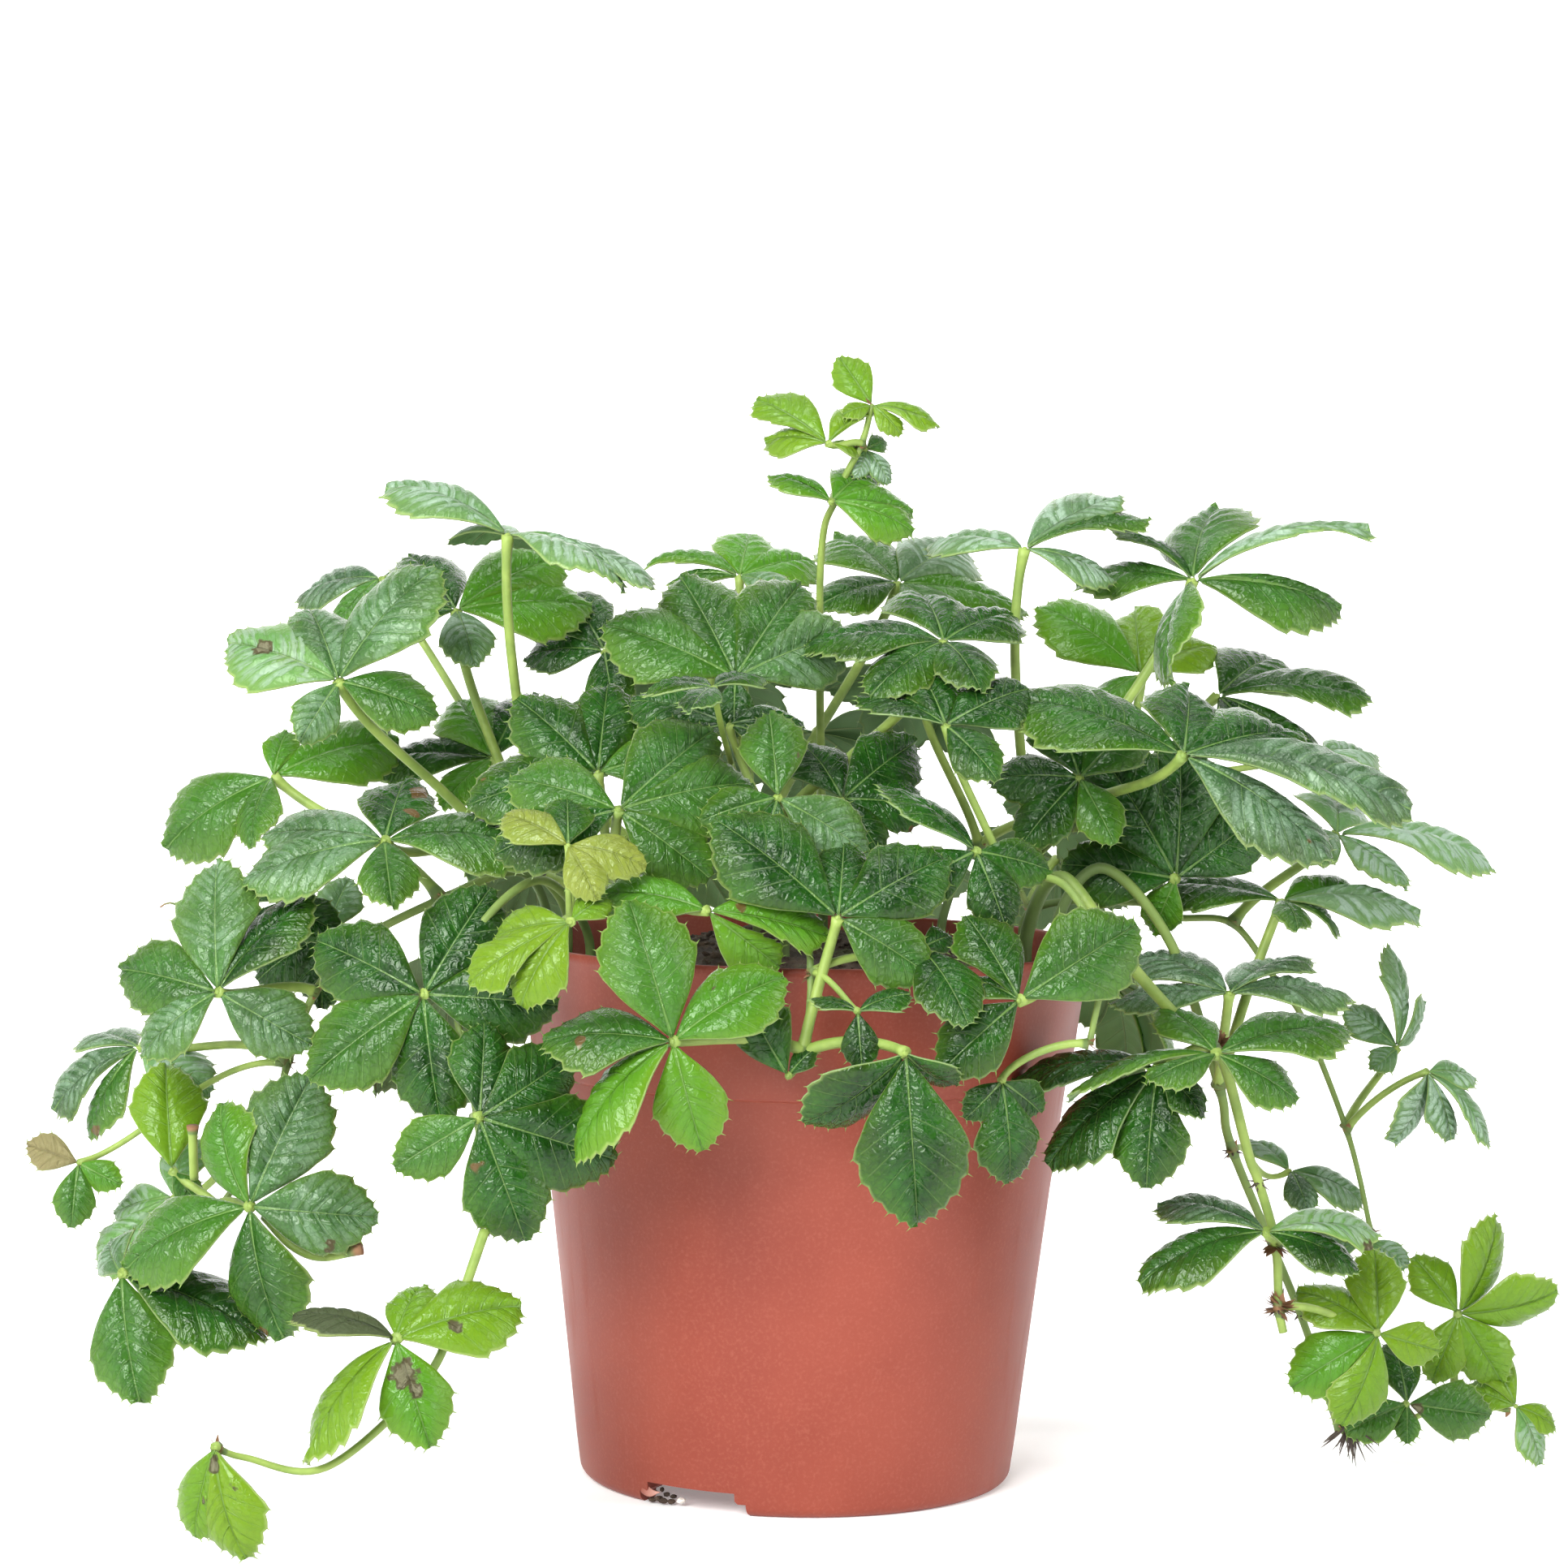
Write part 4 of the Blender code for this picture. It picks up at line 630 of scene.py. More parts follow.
def add_tooth_tips(sheet, edge, phase, axes, youth, chance):
    """A bristle at the peak of each tooth, on both edges of a leaflet."""
    across, along, normal = axes
    step = phase[:, 0] - np.floor(phase[:, 0])
    for row in np.flatnonzero(np.abs(step - TOOTH_PEAK) < 0.01):
        for column, sign in ((0, -1), (-1, 1)):
            out = across * sign * 0.8 + along * 0.6 + normal * 0.1
            size = chance.uniform(0.7, 1.25)
            add_bristle(sheet, edge[row, column], out, size, 0.19, side=1.0, share=0.5, youth=youth)


def close_edge(sheet, top, low):
    """Close a leaflet's edge all round, between its upper and lower points."""
    left = np.stack([top[:-1, 0], top[1:, 0], low[1:, 0], low[:-1, 0]], -1)
    right = np.stack([top[1:, -1], top[:-1, -1], low[:-1, -1], low[1:, -1]], -1)
    foot = np.stack([top[0, 1:], top[0, :-1], low[0, :-1], low[0, 1:]], -1)
    end = np.stack([top[-1, :-1], top[-1, 1:], low[-1, 1:], low[-1, :-1]], -1)
    sheet.quads(np.vstack([left, right, foot, end]), 1)


def add_leaflet(sheet, props, hub, facing, tip, roll, gaps, number, tone, chance):
    """One toothed leaflet, quilted between its side veins, with an upper and a lower face."""
    length = tip.length
    along = tip / length
    normal = (facing - facing.dot(along) * along).normalized()
    normal.rotate(Quaternion(along, roll))
    across, along, normal = np.array(normal.cross(along)), np.array(along), np.array(normal)
    teeth = tooth_count(length)
    t = leaflet_rows(teeth)[:, None]
    v = COLUMNS[None, :]
    s, half = leaflet_outline(props, length, gaps, t, v)
    phase = np.maximum(0, (t - FIRST_TOOTH) / (1 - FIRST_TOOTH)) * teeth
    tooth = edge_teeth(phase, t, v, teeth, chance) * np.abs(v) ** 6
    y = v * half + np.sign(v) * props.tooth_height * length * (1 - 0.35 * t) * tooth
    s = s + 0.45 * props.tooth_height * tooth
    z = blade_rise(props, length, s, y, t, v, phase, chance)
    point = np.array(hub) + (
        s[..., None] * length * along + y[..., None] * across + z[..., None] * normal)
    under = point - props.leaf_thickness / MM * normal
    youth = tone[0] + chance.uniform(-0.07, 0.07)
    values = {
        "rib": phase + 0 * v,
        "side": v + 0 * t,
        "share": s,
        "youth": youth,
        "pallor_and_sheen": tone[1],
        "wither": tone[2],
        "blemish": blemish_depth(point),
        "place": np.stack([s * length, y, np.full_like(s, 23.0 * number)], -1),
    }
    top = sheet.patch(point, 0, **values)
    low = sheet.patch(under, 1, flip=True, **values)
    add_tooth_tips(sheet, (point + under) / 2, phase, (across, along, normal), youth, chance)
    close_edge(sheet, top, low)


def add_bristle(sheet, foot, out, length, width, **values):
    """A fine point, such as a tooth ends in."""
    out = out / np.linalg.norm(out)
    side = np.cross(out, (0.3, 0.5, 0.8))
    side /= np.linalg.norm(side)
    other = np.cross(out, side)
    ring = [foot - out * 0.2 + (side * math.cos(a) + other * math.sin(a)) * width for a in (0, 2.1, 4.2)]
    tip = foot + out * length
    sheet.patch(np.array([ring, [tip, tip, tip]]), 0, wrap=True, **values)


def blemish_depth(points):
    """How far inside a brown spot each point lies: 1 at its middle, 0 at its edge, less outside."""
    depth = np.full(points.shape[:2], -1.0)
    for middle, radius in BLEMISHES:
        far = np.linalg.norm(points - np.array(middle, float), axis=2)
        depth = np.maximum(depth, 1 - far / radius)
    return depth


def add_hub(sheet, hub, facing, longest, chance):
    """The small knob where a leaf's midribs meet, with fine hairs round it."""
    size = 0.42 + longest * 0.007
    side = facing.orthogonal().normalized()
    other = facing.cross(side)
    rings = []
    for rise in (-0.3, 0.2, 0.7, 1.2, 1.5):
        ring = [Vector(hub) + facing * 0.75 * size * math.sin(rise)
                + (side * math.cos(a) + other * math.sin(a)) * size * math.cos(rise)
                for a in np.linspace(0, TAU, 10, endpoint=False)]
        rings.append(millimetres(ring))
    sheet.patch(np.array(rings), 0, wrap=True, age=0.1)
    for _ in range(12):
        drift = Vector((chance.gauss(0, 1), chance.gauss(0, 1), chance.gauss(0, 1)))
        out = (drift.normalized() + facing * 0.7).normalized()
        foot = Vector(hub) + out * size * 0.7
        add_bristle(sheet, np.array(foot), np.array(out), chance.uniform(0.6, 1.2), 0.05, age=0.0)


def add_leaf(sheet, props, leaf, number, chance):
    """A palmate leaf: its leaflets in order round the hub."""
    _, hub, face, kinds, tips = leaf
    facing = facing_vector(*face)
    kinds = kinds.split()
    leaflets = []
    for k, tip in enumerate(tips):
        roll = tip[3] if len(tip) > 3 else 0.0
        leaflets.append((Vector(tip[:3]), math.radians(roll + PINWHEEL_ROLL), kinds[k % len(kinds)]))
    first = leaflets[0][0]
    start = (first - first.dot(facing) * facing).normalized()
    leaflets.sort(key=lambda leaflet: around(facing, leaflet[0], start))
    angles = [around(facing, leaflet[0], start) for leaflet in leaflets]
    gaps = [(angles[k] - angles[k - 1]) % TAU or TAU for k in range(len(tips))]
    for k, (tip, roll, kind) in enumerate(leaflets):
        sides = (gaps[k], gaps[(k + 1) % len(tips)])
        place = Vector(hub) + facing * 0.15 * (k % 2)
        add_leaflet(sheet, props, place, facing, tip, roll, sides, number * 7 + k, TONES[kind], chance)


def add_tube(sheet, line, radii, sides=9, ribs=0.0, **values):
    """A round tube along a line, with closed ends and ribs along it."""
    line = np.asarray(line, float)
    ahead = np.gradient(line, axis=0)
    ahead /= np.linalg.norm(ahead, axis=1)[:, None]
    first = np.cross(ahead[0], (0.31, 0.95, 0.05))
    rings = []
    angle = TAU * np.arange(sides) / sides
    shape = 1 + ribs * np.cos(angle * 4)
    for k, place in enumerate(line):
        first = first - first.dot(ahead[k]) * ahead[k]
        first /= np.linalg.norm(first)
        second = np.cross(ahead[k], first)
        ring = np.cos(angle)[:, None] * first + np.sin(angle)[:, None] * second
        rings.append(place + ring * (radii[k] * shape)[:, None])
    ends = [np.repeat(line[:1], sides, 0), np.repeat(line[-1:], sides, 0)]
    grid = np.stack([ends[0], *rings, ends[1]])
    values = {name: np.concatenate([value[:1], value, value[-1:]])[:, None]
              if np.ndim(value) == 1 else value for name, value in values.items()}
    sheet.patch(grid, 0, wrap=True, **values)


def soil_height(x, y):
    """The soil's surface, a low mound with gentle lumps."""
    share = np.minimum(1.0, np.hypot(x, y) / SOIL_REACH)
    lumps = 0.9 * np.sin(x * 0.21 + 1.0) * np.cos(y * 0.17 + 0.4)
    return SOIL_EDGE + (SOIL_CROWN - SOIL_EDGE) * (1 - share ** 2) + lumps * (1 - share)


def add_stem(sheet, name, grown, chance):
    """A shoot's main stem, a little swollen and browned at the points where leaves grow."""
    route = millimetres(STEMS[name])
    if route[0][2] > SOIL_EDGE:
        x, y, _ = route[0]
        route = np.vstack([[x, y, soil_height(x, y) - 6], route])
    line = curve_through(route, 1.3)
    share = np.linspace(0, 1, len(line))
    radii = STEM_RADII.get(name, STEM_RADIUS) * (1.08 - 0.45 * share)
    scar = np.zeros(len(line))
    for point in sorted(grown):
        far = np.linalg.norm(line - np.array(STEMS[name][point], float), axis=1)
        scar = np.maximum(scar, np.exp(-(far / 1.4) ** 2) * chance.uniform(0.25, 1.0))
    old = np.clip(1 - share * 2.2, 0, 1) * 0.5 * (route[0][2] > SOIL_EDGE - 10)
    old = np.maximum(old, 0.0 if name.startswith("young") or name == ROUGH_SHOOT else 0.22)
    add_tube(sheet, line, radii * (1 + 0.45 * scar), 10, 0.06, age=np.maximum(old, scar * 0.85))


def add_scales(sheet, place, count, size, chance):
    """Small dry scales round a stem point."""
    for _ in range(count):
        way = Vector((chance.uniform(-1, 1), chance.uniform(-1, 1), chance.uniform(-0.6, 1)))
        way.normalize()
        side = way.cross(Vector((0.3, 0.2, 0.9))).normalized()
        foot = Vector(place) + way * 0.6
        width = np.array([1.0, 0.8, 0.1]) * 0.55 * size
        rise = np.array([0.0, 0.9, 1.9]) * size
        grid = np.array([[tuple(foot + way * r + side * w * sign) for sign in (-1, 1)]
                         for r, w in zip(rise, width)])
        sheet.patch(grid, 0, age=1.0)


def add_roots(sheet, place, way, length, count, chance):
    """A tuft of dry curling roots."""
    for _ in range(count):
        drift = Vector((chance.uniform(-1, 1), chance.uniform(-1, 1), chance.uniform(-1, 0.6)))
        way_out = (Vector(way) * 0.6 + drift * 0.75).normalized()
        bend = Vector((chance.uniform(-1, 1), chance.uniform(-1, 1), chance.uniform(-1, 1))) * 0.25
        reach = length * chance.uniform(0.45, 1.0)
        line = [Vector(place) + way_out * reach * t + bend * reach * t * t
                for t in (0, 0.25, 0.5, 0.75, 1)]
        radii = np.array([0.3, 0.24, 0.2, 0.14, 0.04]) * chance.uniform(0.8, 1.3)
        add_tube(sheet, millimetres(line), radii, 4, age=1.6)


def add_stalk(sheet, start, leaf, chance):
    """A leaf's hub and its stalk, thicker at both ends."""
    _, hub, face, _, tips = leaf
    facing = facing_vector(*face)
    longest = max(Vector(tip[:3]).length for tip in tips)
    add_hub(sheet, hub, facing, longest, chance)
    line = stalk_route(start, hub, facing, tips)
    if line is None:
        return
    line[-1] += np.array(facing) * 0.05
    share = np.linspace(0, 1, len(line))
    swell = np.exp(-(share / 0.06) ** 2) * 0.5 + np.exp(-((1 - share) / 0.05) ** 2) * 0.35
    radii = stalk_radius(tips) * (1.0 - 0.12 * share) * (1 + swell)
    add_tube(sheet, line, radii, 9, 0.05, age=0.55 * np.exp(-(share / 0.05) ** 2))


class Wire:
    """A node socket in an expression: arithmetic on it adds Math nodes."""

    def __init__(self, finish, socket):
        self.finish = finish
        self.socket = socket

    def math(self, operation, *values):
        """One Math node on this value and others."""
        return self.finish.node("ShaderNodeMath", {"operation": operation}, [self, *values])

    def __add__(self, other):
        return self.math("ADD", other)

    def __sub__(self, other):
        return self.math("SUBTRACT", other)

    def __rsub__(self, other):
        return self.finish.node("ShaderNodeMath", {"operation": "SUBTRACT"}, [other, self])

    def __mul__(self, other):
        return self.math("MULTIPLY", other)

    def __truediv__(self, other):
        return self.math("DIVIDE", other)

    def __pow__(self, other):
        return self.math("POWER", other)

    __radd__ = __add__
    __rmul__ = __mul__

    def fraction(self):
        """What is left over a whole number."""
        return self.math("FRACT")

    def size(self):
        """The value without its sign."""
        return self.math("ABSOLUTE")

    def ramp(self, low, high):
        """0 at low and 1 at high, smooth between them."""
        settings = {"interpolation_type": "SMOOTHSTEP"}
        inputs = {"Value": self, "From Min": low, "From Max": high}
        return self.finish.node("ShaderNodeMapRange", settings, inputs)


class Finish:
    """A material that is put together from nodes."""

    def __init__(self, name):
        self.material = bpy.data.materials.new(name)
        self.material.use_nodes = True
        self.tree = self.material.node_tree
        self.shader = self.tree.nodes["Principled BSDF"]
        self.output = self.tree.nodes["Material Output"]

    def node(self, kind, settings=None, inputs=None, output=0):
        """Add a node: its settings first, then values or wires for its sockets."""
        node = self.tree.nodes.new(kind)
        for name, value in (settings or {}).items():
            setattr(node, name, value)
        pairs = enumerate(inputs) if isinstance(inputs, list) else (inputs or {}).items()
        for key, value in pairs:
            self.feed(node.inputs[key], value)
        return Wire(self, node.outputs[output])

    def feed(self, socket, value):
        """Set a socket to a value, or link a wire to it."""
        if isinstance(value, Wire):
            self.tree.links.new(value.socket, socket)
        elif isinstance(value, (tuple, list)) and len(value) == 3 and socket.type == "RGBA":
            socket.default_value = (*value, 1.0)
        else:
            socket.default_value = value

    def set(self, **values):
        """Feed the shader's own sockets, such as base_color or roughness."""
        for name, value in values.items():
            title = name.replace("_", " ").title().replace("Ior", "IOR")
            self.feed(self.shader.inputs[title], value)

    def attribute(self, name, vector=False):
        """A value that the mesh keeps at its points."""
        settings = {"attribute_name": name}
        return self.node("ShaderNodeAttribute", settings, output="Vector" if vector else "Fac")

    def blend(self, share, first, second):
        """Two colours mixed."""
        inputs = {0: share, 6: first, 7: second}
        return self.node("ShaderNodeMix", {"data_type": "RGBA"}, inputs, 2)

    def object_place(self):
        """The point on the piece in metres."""
        return self.node("ShaderNodeTexCoord", output="Object")

    def noise(self, place, scale, detail):
        """Cloudy variation from 0 to 1."""
        inputs = {"Vector": place, "Scale": scale, "Detail": detail, "Roughness": 0.55}
        return self.node("ShaderNodeTexNoise", None, inputs)

    def noise_shift(self, place, scale, amount):
        """A place moved about by cloudy noise."""
        inputs = {"Vector": place, "Scale": scale, "Detail": 2.0}
        cloud = self.node("ShaderNodeTexNoise", None, inputs, "Color")
        moved = self.node("ShaderNodeVectorMath", {"operation": "SCALE"}, {0: cloud, "Scale": amount})
        return self.node("ShaderNodeVectorMath", {"operation": "ADD"}, [place, moved])

    def cells(self, place, scale, feature="DISTANCE_TO_EDGE"):
        """Distance within a pattern of cells."""
        inputs = {"Vector": place, "Scale": scale}
        return self.node("ShaderNodeTexVoronoi", {"feature": feature}, inputs, "Distance")

    def relief(self, height, strength, distance):
        """Fine relief on the shader's normal."""
        inputs = {"Height": height, "Strength": strength, "Distance": distance}
        self.set(normal=self.node("ShaderNodeBump", None, inputs))


class LeafPattern:
    """What varies over a leaf: its age with painted light and shade, its painted sheen, its veins, the
    net between them and its fine streaks.
    """

    def __init__(self, finish):
        place = finish.attribute("place", vector=True)
        self.place = place
        self.youth = finish.attribute("youth")
        self.pallor_and_sheen = finish.attribute("pallor_and_sheen")
        self.side = finish.attribute("side").size()
        self.cloud = finish.noise(place, 0.10, 3)
        self.fine = finish.noise(place, 1.3, 4)
        self.wither = finish.attribute("wither") + (self.cloud - 0.5) * 0.4
        self.blemish = finish.attribute("blemish") + (finish.noise(place, 0.5, 4) - 0.5) * 1.5
        self.spot = finish.noise(place, 0.09, 2).ramp(0.75, 0.765)
        self.add_veins(finish)
        self.add_streaks(finish)

    def add_veins(self, finish):
        """The midrib, the side veins and the fine net of cells."""
        rib = finish.attribute("rib")
        share = finish.attribute("share")
        across = finish.node("ShaderNodeSeparateXYZ", None, [self.place], 1).size()
        midrib = 1 - (across / (0.13 + 0.24 * (1 - share) ** 3)).ramp(0.4, 1.2)
        vein = 1 - (rib.fraction() - TOOTH_PEAK).size().ramp(0.0, 0.06)
        self.inside = 1 - self.side.ramp(0.8, 1.0)
        self.rib = rib
        self.veins = midrib.math("MAXIMUM", vein * rib.ramp(0.1, 0.3) * self.inside * 0.4)
        self.mesh = finish.cells(finish.noise_shift(self.place, 0.6, 0.8), 0.72)
        self.net = (1 - self.mesh.ramp(0.0, 0.12)) * (1 - self.youth.ramp(0.1, 0.6) * 0.8)

    def add_streaks(self, finish):
        """Grain that runs out along the side veins, and broad furrows with it."""
        rib, cloud = self.rib, self.cloud
        parts = [rib * 3.4, self.side * 1.7, rib * 0.3 + cloud * 9]
        grain = finish.noise(finish.node("ShaderNodeCombineXYZ", None, parts), 1.0, 3)
        band = (rib * 1.5 + (grain - 0.5) * 1.3 + (cloud - 0.5) * 1.2).fraction()
        self.grain = grain
        self.band = band * (1 - band) * 4 * self.inside * cloud.ramp(0.25, 0.6)


def leaf_green(finish, props, leaf):
    """A leaf's green by its age and by painted light and shade, lighter towards its edge."""
    bright, young = tuple(props.bright_leaf), tuple(props.young_leaf)
    old = finish.blend(leaf.cloud.ramp(0.3, 0.7), tuple(props.old_leaf), tuple(props.mature_leaf))
    green = finish.blend(leaf.youth.ramp(0.1, 0.62), old, bright)
    green = finish.blend(leaf.youth.ramp(0.6, 1.0), green, young)
    green = finish.blend(leaf.side.ramp(0.4, 1.0) * (0.06 + 0.5 * leaf.youth), green, young)
    return finish.blend(leaf.fine.ramp(0.35, 0.75) * 0.15, green, bright)


def leaf_colour(finish, props, leaf, under):
    """The green with its veins, the painted shade in its net's furrows and its painted sheen, then what
    withers, browns or spots it.
    """
    colour = leaf_green(finish, props, leaf)
    if under:
        pale = finish.blend(leaf.youth.ramp(0.5, 1.0), tuple(props.leaf_underside), (0.34, 0.48, 0.15))
        colour = finish.blend(0.85, colour, pale)
        colour = finish.blend(leaf.veins * 0.5, colour, (0.34, 0.42, 0.2))
    else:
        # Painted shade: the furrows of the fine net between the bulging cells are darkened
        colour = finish.blend(leaf.net * 0.4, colour, (0.008, 0.035, 0.006))
        # Painted sheen: a pale bluish-white highlight mixed into the colour in streaks along the veins,
        # less in the net's furrows
        sheen_streak = (leaf.band * 0.6 + leaf.grain).ramp(0.55, 1.1) * (1 - leaf.net * 0.5)
        colour = finish.blend(leaf.pallor_and_sheen * (0.3 + 1.1 * sheen_streak), colour, (0.27, 0.38, 0.28))
        colour = finish.blend(leaf.veins * 0.5, colour, (0.22, 0.38, 0.10))
    layers = [
        (leaf.wither.ramp(0.05, 0.5), (0.21, 0.25, 0.038)),
        (leaf.wither.ramp(0.5, 0.85), (0.045, 0.058, 0.022)),
        (leaf.wither.ramp(0.95, 1.3), (0.22, 0.185, 0.08)),
        (leaf.side.ramp(0.95, 1.0) * (0.25 + 0.4 * leaf.youth), (0.40, 0.50, 0.15)),
        (leaf.blemish.ramp(0.12, 0.3), (0.065, 0.046, 0.02)),
        (leaf.blemish.ramp(0.4, 0.55), (0.16, 0.145, 0.085)),
        (leaf.spot * 0.9, (0.11, 0.055, 0.02)),
    ]
    for share, shade in layers:
        colour = finish.blend(share, colour, shade)
    return colour


def leaf_relief(leaf, under):
    """The height of a leaf's fine relief."""
    if under:
        return leaf.fine * 0.05 + leaf.veins * 0.2
    domes = leaf.mesh.ramp(0.0, 0.3) * (1 - leaf.youth * 0.6)
    furrow = leaf.band * (0.17 - 0.08 * leaf.youth) - leaf.veins * 0.25
    return leaf.fine * 0.06 + domes * 0.09 + leaf.grain * 0.3 + furrow


def leaf_finish(props, under):
    """A leaf's upper or lower face, which lets a little light through."""
    finish = Finish("leaf_underside" if under else "leaf_face")
    leaf = LeafPattern(finish)
    if under:
        finish.set(roughness=0.5 + leaf.fine * 0.2, specular_ior_level=0.25)
    else:
        dull = leaf.wither.ramp(0.4, 0.8) + leaf.blemish.ramp(0.1, 0.3)
        rough = 0.17 + leaf.fine * 0.14 + leaf.pallor_and_sheen * 0.1 + dull * 0.3
        finish.set(roughness=rough, specular_ior_level=0.4)
    finish.set(base_color=leaf_colour(finish, props, leaf, under), specular_tint=(0.87, 1.0, 0.82))
    finish.relief(leaf_relief(leaf, under), 1.0, 0.001)
    through = finish.node("ShaderNodeBsdfTranslucent", None, {"Color": (0.13, 0.42, 0.02)})
    shown = Wire(finish, finish.shader.outputs[0])
    mix = finish.node("ShaderNodeMixShader", None, [0.05 + 0.25 * leaf.youth, shown, through])
    finish.tree.links.new(mix.socket, finish.output.inputs["Surface"])
    return finish.material


def stem_finish(props):
    """Green ribbed stem that turns brown and rough at its nodes and in the soil."""
    finish = Finish("stem")
    place = finish.object_place()
    age = finish.attribute("age")
    grain = finish.noise(place, 900, 4)
    patches = finish.noise(place, 160, 3)
    green = finish.blend(patches.ramp(0.3, 0.7), tuple(props.stem_green), (0.17, 0.26, 0.045))
    green = finish.blend(age.ramp(0.12, 0.3), green, (0.105, 0.17, 0.04))
    colour = finish.blend((age + patches * 0.3 - 0.15).ramp(0.4, 0.8), green, (0.22, 0.11, 0.05))
    colour = finish.blend(age.ramp(1.1, 1.5), colour, (0.065, 0.046, 0.036))
    finish.set(base_color=colour, roughness=0.42 + grain * 0.25 + age.ramp(0, 1) * 0.2)
    finish.relief(grain + patches, 0.5, 0.0002)
    return finish.material


def pot_finish(props):
    """Satin moulded plastic with fine speckle, scuffs and a little dust."""
    finish = Finish("pot_plastic")
    place = finish.object_place()
    cloud = finish.noise(place, 22, 3)
    speck = finish.noise(place, 1500, 3)
    grit = finish.cells(place, 260, "F1")
    upright = finish.node("ShaderNodeMapping", None, {"Vector": place, "Scale": (1, 1, 0.16)})
    scuff = finish.noise(upright, 240, 4)
    colour = finish.blend(cloud.ramp(0.3, 0.7), tuple(props.pot_colour), (0.245, 0.048, 0.027))
    colour = finish.blend(speck.ramp(0.45, 0.8) * 0.16, colour, (0.42, 0.16, 0.11))
    dirt = (1 - grit.ramp(0.02, 0.05)) * finish.noise(place, 60, 1).ramp(0.66, 0.7)
    colour = finish.blend(dirt * 0.8, colour, (0.10, 0.03, 0.02))
    colour = finish.blend(finish.attribute("torn") * 0.75, colour, (0.72, 0.42, 0.34))
    finish.set(base_color=colour, roughness=0.4 + speck * 0.1 + scuff.ramp(0.5, 0.8) * 0.1)
    finish.set(specular_ior_level=0.3)
    finish.relief(speck * 0.5 + scuff * 0.4, 0.35, 0.00012)
    return finish.material


def soil_finish(props):
    """Dark peat with fibres, and moss in patches."""
    finish = Finish("peat")
    place = finish.object_place()
    clod = finish.noise(place, 240, 5)
    fibre = finish.noise(place, 1200, 4)
    colour = finish.blend(clod.ramp(0.35, 0.7), tuple(props.soil_colour), (0.095, 0.06, 0.038))
    colour = finish.blend(fibre.ramp(0.6, 0.8) * 0.5, colour, (0.2, 0.14, 0.09))
    moss = finish.noise(place, 70, 3).ramp(0.56, 0.66)
    colour = finish.blend(moss * 0.6, colour, (0.10, 0.13, 0.045))
    finish.set(base_color=colour, roughness=0.85 + fibre * 0.12)
    finish.relief(clod + fibre * 0.6, 0.9, 0.0012)
    return finish.material


def floor_finish():
    """Plain pale studio floor."""
    finish = Finish("studio_floor")
    cloud = finish.noise(finish.object_place(), 3.0, 2)
    finish.set(base_color=finish.blend(cloud, (0.94, 0.94, 0.94), (0.96, 0.96, 0.96)), roughness=0.8)
    finish.set(emission_color=(1.0, 1.0, 1.0), emission_strength=0.24)
    return finish.material


def perlite_finish():
    """Chalky white grit."""
    finish = Finish("perlite")
    grain = finish.noise(finish.object_place(), 900, 3)
    finish.set(base_color=finish.blend(grain, (0.62, 0.58, 0.5), (0.88, 0.86, 0.8)), roughness=0.9)
    return finish.material


def link_model(model, name):
    """An object in the scene from a finished mesh model."""
    mesh = bpy.data.meshes.new(name)
    model.to_mesh(mesh)
    model.free()
    item = bpy.data.objects.new(name, mesh)
    bpy.context.scene.collection.objects.link(item)
    return item


def lumps_of(places, name, finish, chance):
    """A piece made of uneven lumps, each with its middle and radius."""
    model = bmesh.new()
    for middle, radius in places:
        made = bmesh.ops.create_icosphere(model, subdivisions=2, radius=1.0)
        stretch = Vector((chance.uniform(0.8, 1.4), chance.uniform(0.7, 1.1), chance.uniform(0.6, 0.9)))
        for vertex in made["verts"]:
            vertex.co *= radius * chance.uniform(0.8, 1.12)
            vertex.co = (vertex.co * stretch + Vector(middle)) * MM
    item = link_model(model, name)
    item.data.materials.append(finish)
    return item


def turned(sheet, profile, sides, lift=None):
    """A surface of revolution from radius and height pairs."""
    angle = TAU * np.arange(sides) / sides
    profile = np.array(profile, float)
    x = profile[:, 0][:, None] * np.cos(angle)
    y = profile[:, 0][:, None] * np.sin(angle)
    z = profile[:, 1][:, None] + 0 * x
    if lift is not None:
        z = z + lift(x, y, z)
    sheet.patch(np.stack([x, y, z], -1), wrap=True, flip=True)


def pot_outer(height):
    """The plain wall's outer radius at a height."""
    return BASE_RADIUS + (RIM_RADIUS - RIM_FLARE - BASE_RADIUS) / POT_HEIGHT * height


